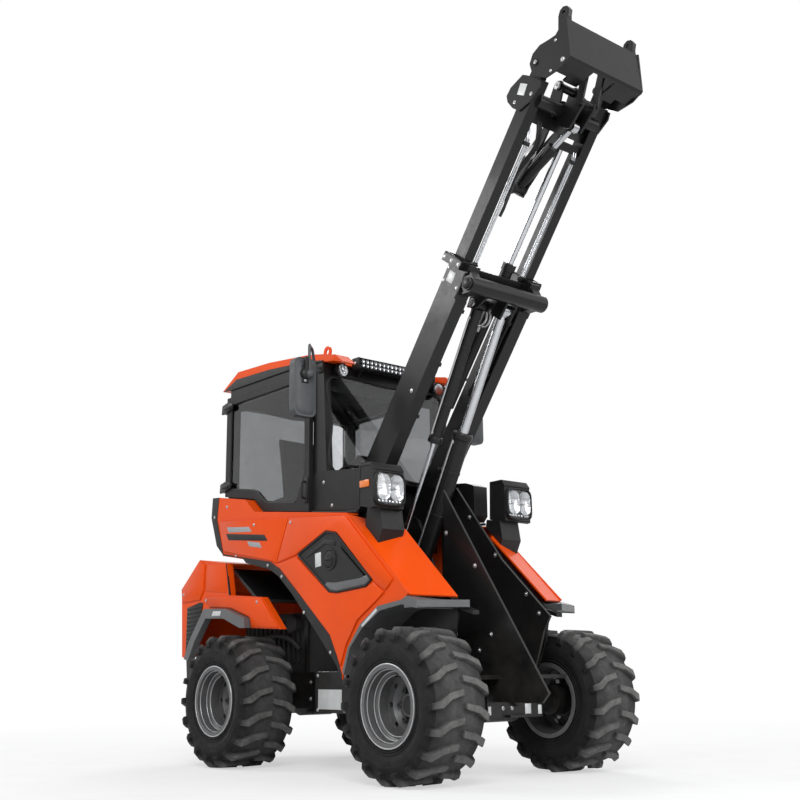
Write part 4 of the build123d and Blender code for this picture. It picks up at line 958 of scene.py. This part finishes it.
arm_bolts = Piece("arm_bolts", steel, "boom")
arm_plates = Piece("arm_labels", plate_pale, "boom")
arm_trims = Piece("arm_collar_rims", black, "boom")
arm_hoses = Piece("arm_hoses", seal, "boom")
steel_lines = Piece("arm_steel_pipes", steel, "boom")
for hand in HANDS:
    arm_bolts.bolts(arm(hand, 331), ((1688, -18), (1688, 118), (1688, 50)), 0, 7)
    m = arm(hand, ARM_Y)
    arm_bolts.bolts(m, ((1560, -40), (1560, 90), (1640, 90)), 0, 6)
    arm_bolts.bolts(m, ((300, 20), (900, -30)), 0, 7)
    arm_plates.slab(m, ((1566, 14), (1632, 14), (1632, 72), (1566, 72)), -0.5, 0.9, 0.3)
    arm_trims.slab(m, ((1500, -73), (1664, -73), (1664, -60), (1510, -60)), -2, 8, 2)
    rim = basis(on_arm(1712, 50, hand * 270.5), (0, 1, 0), (-BOOM_S, 0, BOOM_C),
        (BOOM_C, 0, BOOM_S))
    for u0, u1, v0, v1 in ((-60, 60, 66, 84), (-60, 60, -84, -66), (48, 60, -84, 84),
            (-60, -54, -84, 84)):
        arm_trims.box(rim, *sorted((hand * u0, hand * u1)), v0, v1, -2, 8, 2)
    arm_trims.turn(arm(hand, 312), ((0, 14), (20, 14), (30, 10), (34, 2), (34, 0), (0, 0)),
        (1620, -128), 32)
    for p in (-46, -24):
        arm_hoses.pipe([on_arm(a, p + 4 * math.sin(a / 90), hand * 196)
            for a in range(300, 1501, 100)], 8.5, 10, 6, ribs=0.06)
    for a in (420, 760, 1100, 1440):
        arm_trims.box(arm(hand, 184), a - 12, a + 12, -62, -6, 0, 27, 3)
    # Outer tubes of the telescopic oil pipes, open towards the collar.
    for y in PIPE_YS:
        tube = basis(on_arm(0, 9, hand * y), (0, 1, 0), (-BOOM_S, 0, BOOM_C), (BOOM_C, 0, BOOM_S))
        arm_trims.turn(tube, ((6.8, 920), (8.4, 920), (8.4, 1724), (6.8, 1724)), (0, 0), 16,
            ring=True)
    for a in (960, 1220, 1480, 1706):
        for p in (-4, 17.6):
            arm_trims.box(arm(hand, 175.5), a - 11, a + 11, p, p + 4.2, 0, 34.5, 1)
for k, y in enumerate((-14, 6)):
    steel_lines.pipe([on_arm(a, p, y) for a, p in (
        (1540, -28), (1500, -34), (1470, -60 - 12 * k), (1430, -74 - 12 * k),
        (1390, -60 - 12 * k), (1372, -34), (1340, -28))], 6, 10, 6)
arm_bolts.turn(arm(-1, 128), ((0, 10), (20, 10), (25, 6), (26, 0), (0, 0)), (1500, -30), 28)
arm_bolts.bolt(arm(-1, 128), (1500, -30), 9, 6)

# Carrier: pin heads and bolts on its side plates.
carrier_bolts = Piece("carrier_bolts", steel, "carrier")
for hand in HANDS:
    m = side(hand, 307)
    for u, v, r in ((755, 3799, 16), (948, 3730, 11), (860, 3700, 7), (905, 3862, 7)):
        carrier_bolts.turn(m, ((0, 5), (r, 5), (1.25 * r, 3), (1.3 * r, -1), (0, -1)), (u, v), 28)
        carrier_bolts.bolt(m, (u, v), 4, 0.4 * r)

# Cylinders: gland rings and the oil pipes along the barrels.
def cylinder_trim(body, foot, head, y, r, gland, pipe_y, span):
    run = Vector((head[0] - foot[0], 0, head[1] - foot[1])).normalized()
    m = basis(at(foot[0], y, foot[1]), (-run.z, 0, run.x), (0, 1, 0), tuple(run))
    ring = Piece(body + "_gland", black, body)
    ring.turn(m, ((r + 5, gland - 36), (r + 8, gland - 32), (r + 8, gland - 6),
        (r + 4, gland - 2), (r - 12, gland + 3), (r - 14, gland - 4),
        (r - 14, gland - 36)), (0, 0), 40, ring=True)
    line = Piece(body + "_pipe", steel, body)
    d = pipe_y - y
    line.pipe([m @ Vector((0, d * k, w)) for k, w in (
        (0.7, span[0] - 10), (0.9, span[0] + 4), (1, span[0] + 24), (1, (span[0] + span[1]) / 2),
        (1, span[1] - 24), (0.9, span[1] - 4), (0.7, span[1] + 10))], 5.5, 10, 5)
    for w in (span[0] + 180, (span[0] + span[1]) / 2, span[1] - 180):
        ring.turn(m, ((r - 2, w - 8), (r + 3, w - 8), (r + 3, w + 8), (r - 2, w + 8)), (0, 0), 40,
            ring=True)


cylinder_trim("lift_cylinder", (-774, 980), (99.9, 2609.3), 55, 55, 1085, -9, (110, 1020))
cylinder_trim("level_cylinder", (30.2, 2639.5), (-680, 1320), -75, 35, 860, -118, (90, 800))

# ---------------------------------------- rear frame
hood_skin = Piece("hood_skins", orange, "rear_frame")
slats = Piece("grille_slats", black, "rear_frame", "trim_black")
rear_labels = Piece("rear_labels", plate_pale, "rear_frame")
rear_bolts = Piece("rear_bolts", steel, "rear_frame")
rear_trims = Piece("rear_trims", trim, "rear_frame")
red_lamps = Piece("tail_lamps", red, "rear_frame")
amber_lamps = Piece("tail_indicators", amber, "rear_frame")
for hand in HANDS:
    m = side(hand, PANEL_Y)
    hood_skin.slab(m, ((-2364, 1110), (-2350, 1022), (-2124, 1030), (-2082, 1086), (-2072, 1258),
        (-2143, 1288)), -1, 9, 4)
    hood_skin.slab(m, ((-2062, 1050), (-1768, 1034), (-1398, 1004), (-1206, 820), (-1500, 838),
        (-1516, 898), (-1742, 966), (-1996, 976)), -1, 8, 4)
    hood_skin.slab(m, ((-2070, 1084), (-2060, 1256), (-1822, 1236), (-1800, 1060)), -1, 2.5, 1)
    rear_trims.slab(m, ((-1806, 1236), (-1812, 1250), (-1768, 1044), (-1756, 1044)), -6, 6, 2)
    for k in range(11):
        z = 706 + 27 * k
        right_end = -2262 + (z - 690) * 0.765 if z < 886 else -2112 + (z - 886) * 0.22
        slats.box(m, -2281, right_end - 10, z, z + 11, 3, 8, 1.5)
    rear_labels.slab(side(hand, 648.3), ((-1898, 916), (-1798, 914), (-1786, 942), (-1880, 946)),
        -0.5, 0.8, 0.3)
    rear_bolts.bolts(m, ((-2040, 1022), (-1440, 984), (-2330, 1075)), 8, 5.5)
    rear_bolts.bolts(side(hand, 250), ((-1360, 500), (-1360, 400), (-1600, 520), (-2000, 520),
        (-2250, 380)), 0, 8)
# The hood's back leans out by 31 mm from its foot to its shoulder, and nothing stands past it.
tail = basis(at(-2340, 0, 665), (0, 1, 0), (-0.0686, 0, 0.9976), (-0.9976, 0, -0.0686))
for hand in HANDS:
    y0, y1 = sorted((hand * 426, hand * 534))
    rear_trims.box(tail, y0 - 9, y1 + 9, 96, 284, -8, 4, 3)
    red_lamps.box(tail, y0, y1, 218, 276, 2, 9, 4)
    amber_lamps.box(tail, y0, y1, 162, 212, 2, 10, 4)
    rear_trims.box(tail, y0, y1, 104, 156, 2, 8, 3)
for k in range(15):
    slats.box(tail, -370, 370, 36 + 21 * k, 46 + 21 * k, -8, 4, 2)
for u0, u1, v0, v1 in ((-386, -370, 24, 350), (370, 386, 24, 350), (-386, 386, 20, 30),
        (-386, 386, 346, 358)):
    rear_trims.box(tail, u0, u1, v0, v1, -8, 6, 3)
bumper = basis(at(-2340, 0, 390), (0, 1, 0), (-0.1146, 0, 0.9934), (-0.9934, 0, -0.1146))
rear_labels.box(bumper, -150, 150, 60, 168, -1, 2.5, 1)
rear_bolts.bolts(bumper, ((-130, 114), (130, 114)), 2, 5)
for y in (-400, 400):
    rear_trims.turn(bumper, ((0, 8), (34, 7), (44, 0), (44, -6), (0, -6)), (y, 120), 32)
engine_bits = Piece("engine_fins", iron, "rear_frame")
for hand in HANDS:
    for k in range(12):
        engine_bits.box(side(hand, 220), -2110 + 52 * k, -2090 + 52 * k, 620, 880, -1, 14, 3)
    engine_bits.pipe([at(x, hand * y, z) for x, y, z in (
        (-1500, 236, 700), (-1560, 262, 760), (-1700, 270, 790), (-1900, 262, 770),
        (-2050, 240, 720))], 16, 12)
    engine_bits.turn(side(hand, 232), ((0, 40), (50, 40), (58, 32), (60, -10), (0, -10)),
        (-1560, 860), 32)

built = {p.name: p.done() for p in made}
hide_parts("headlight_lenses")
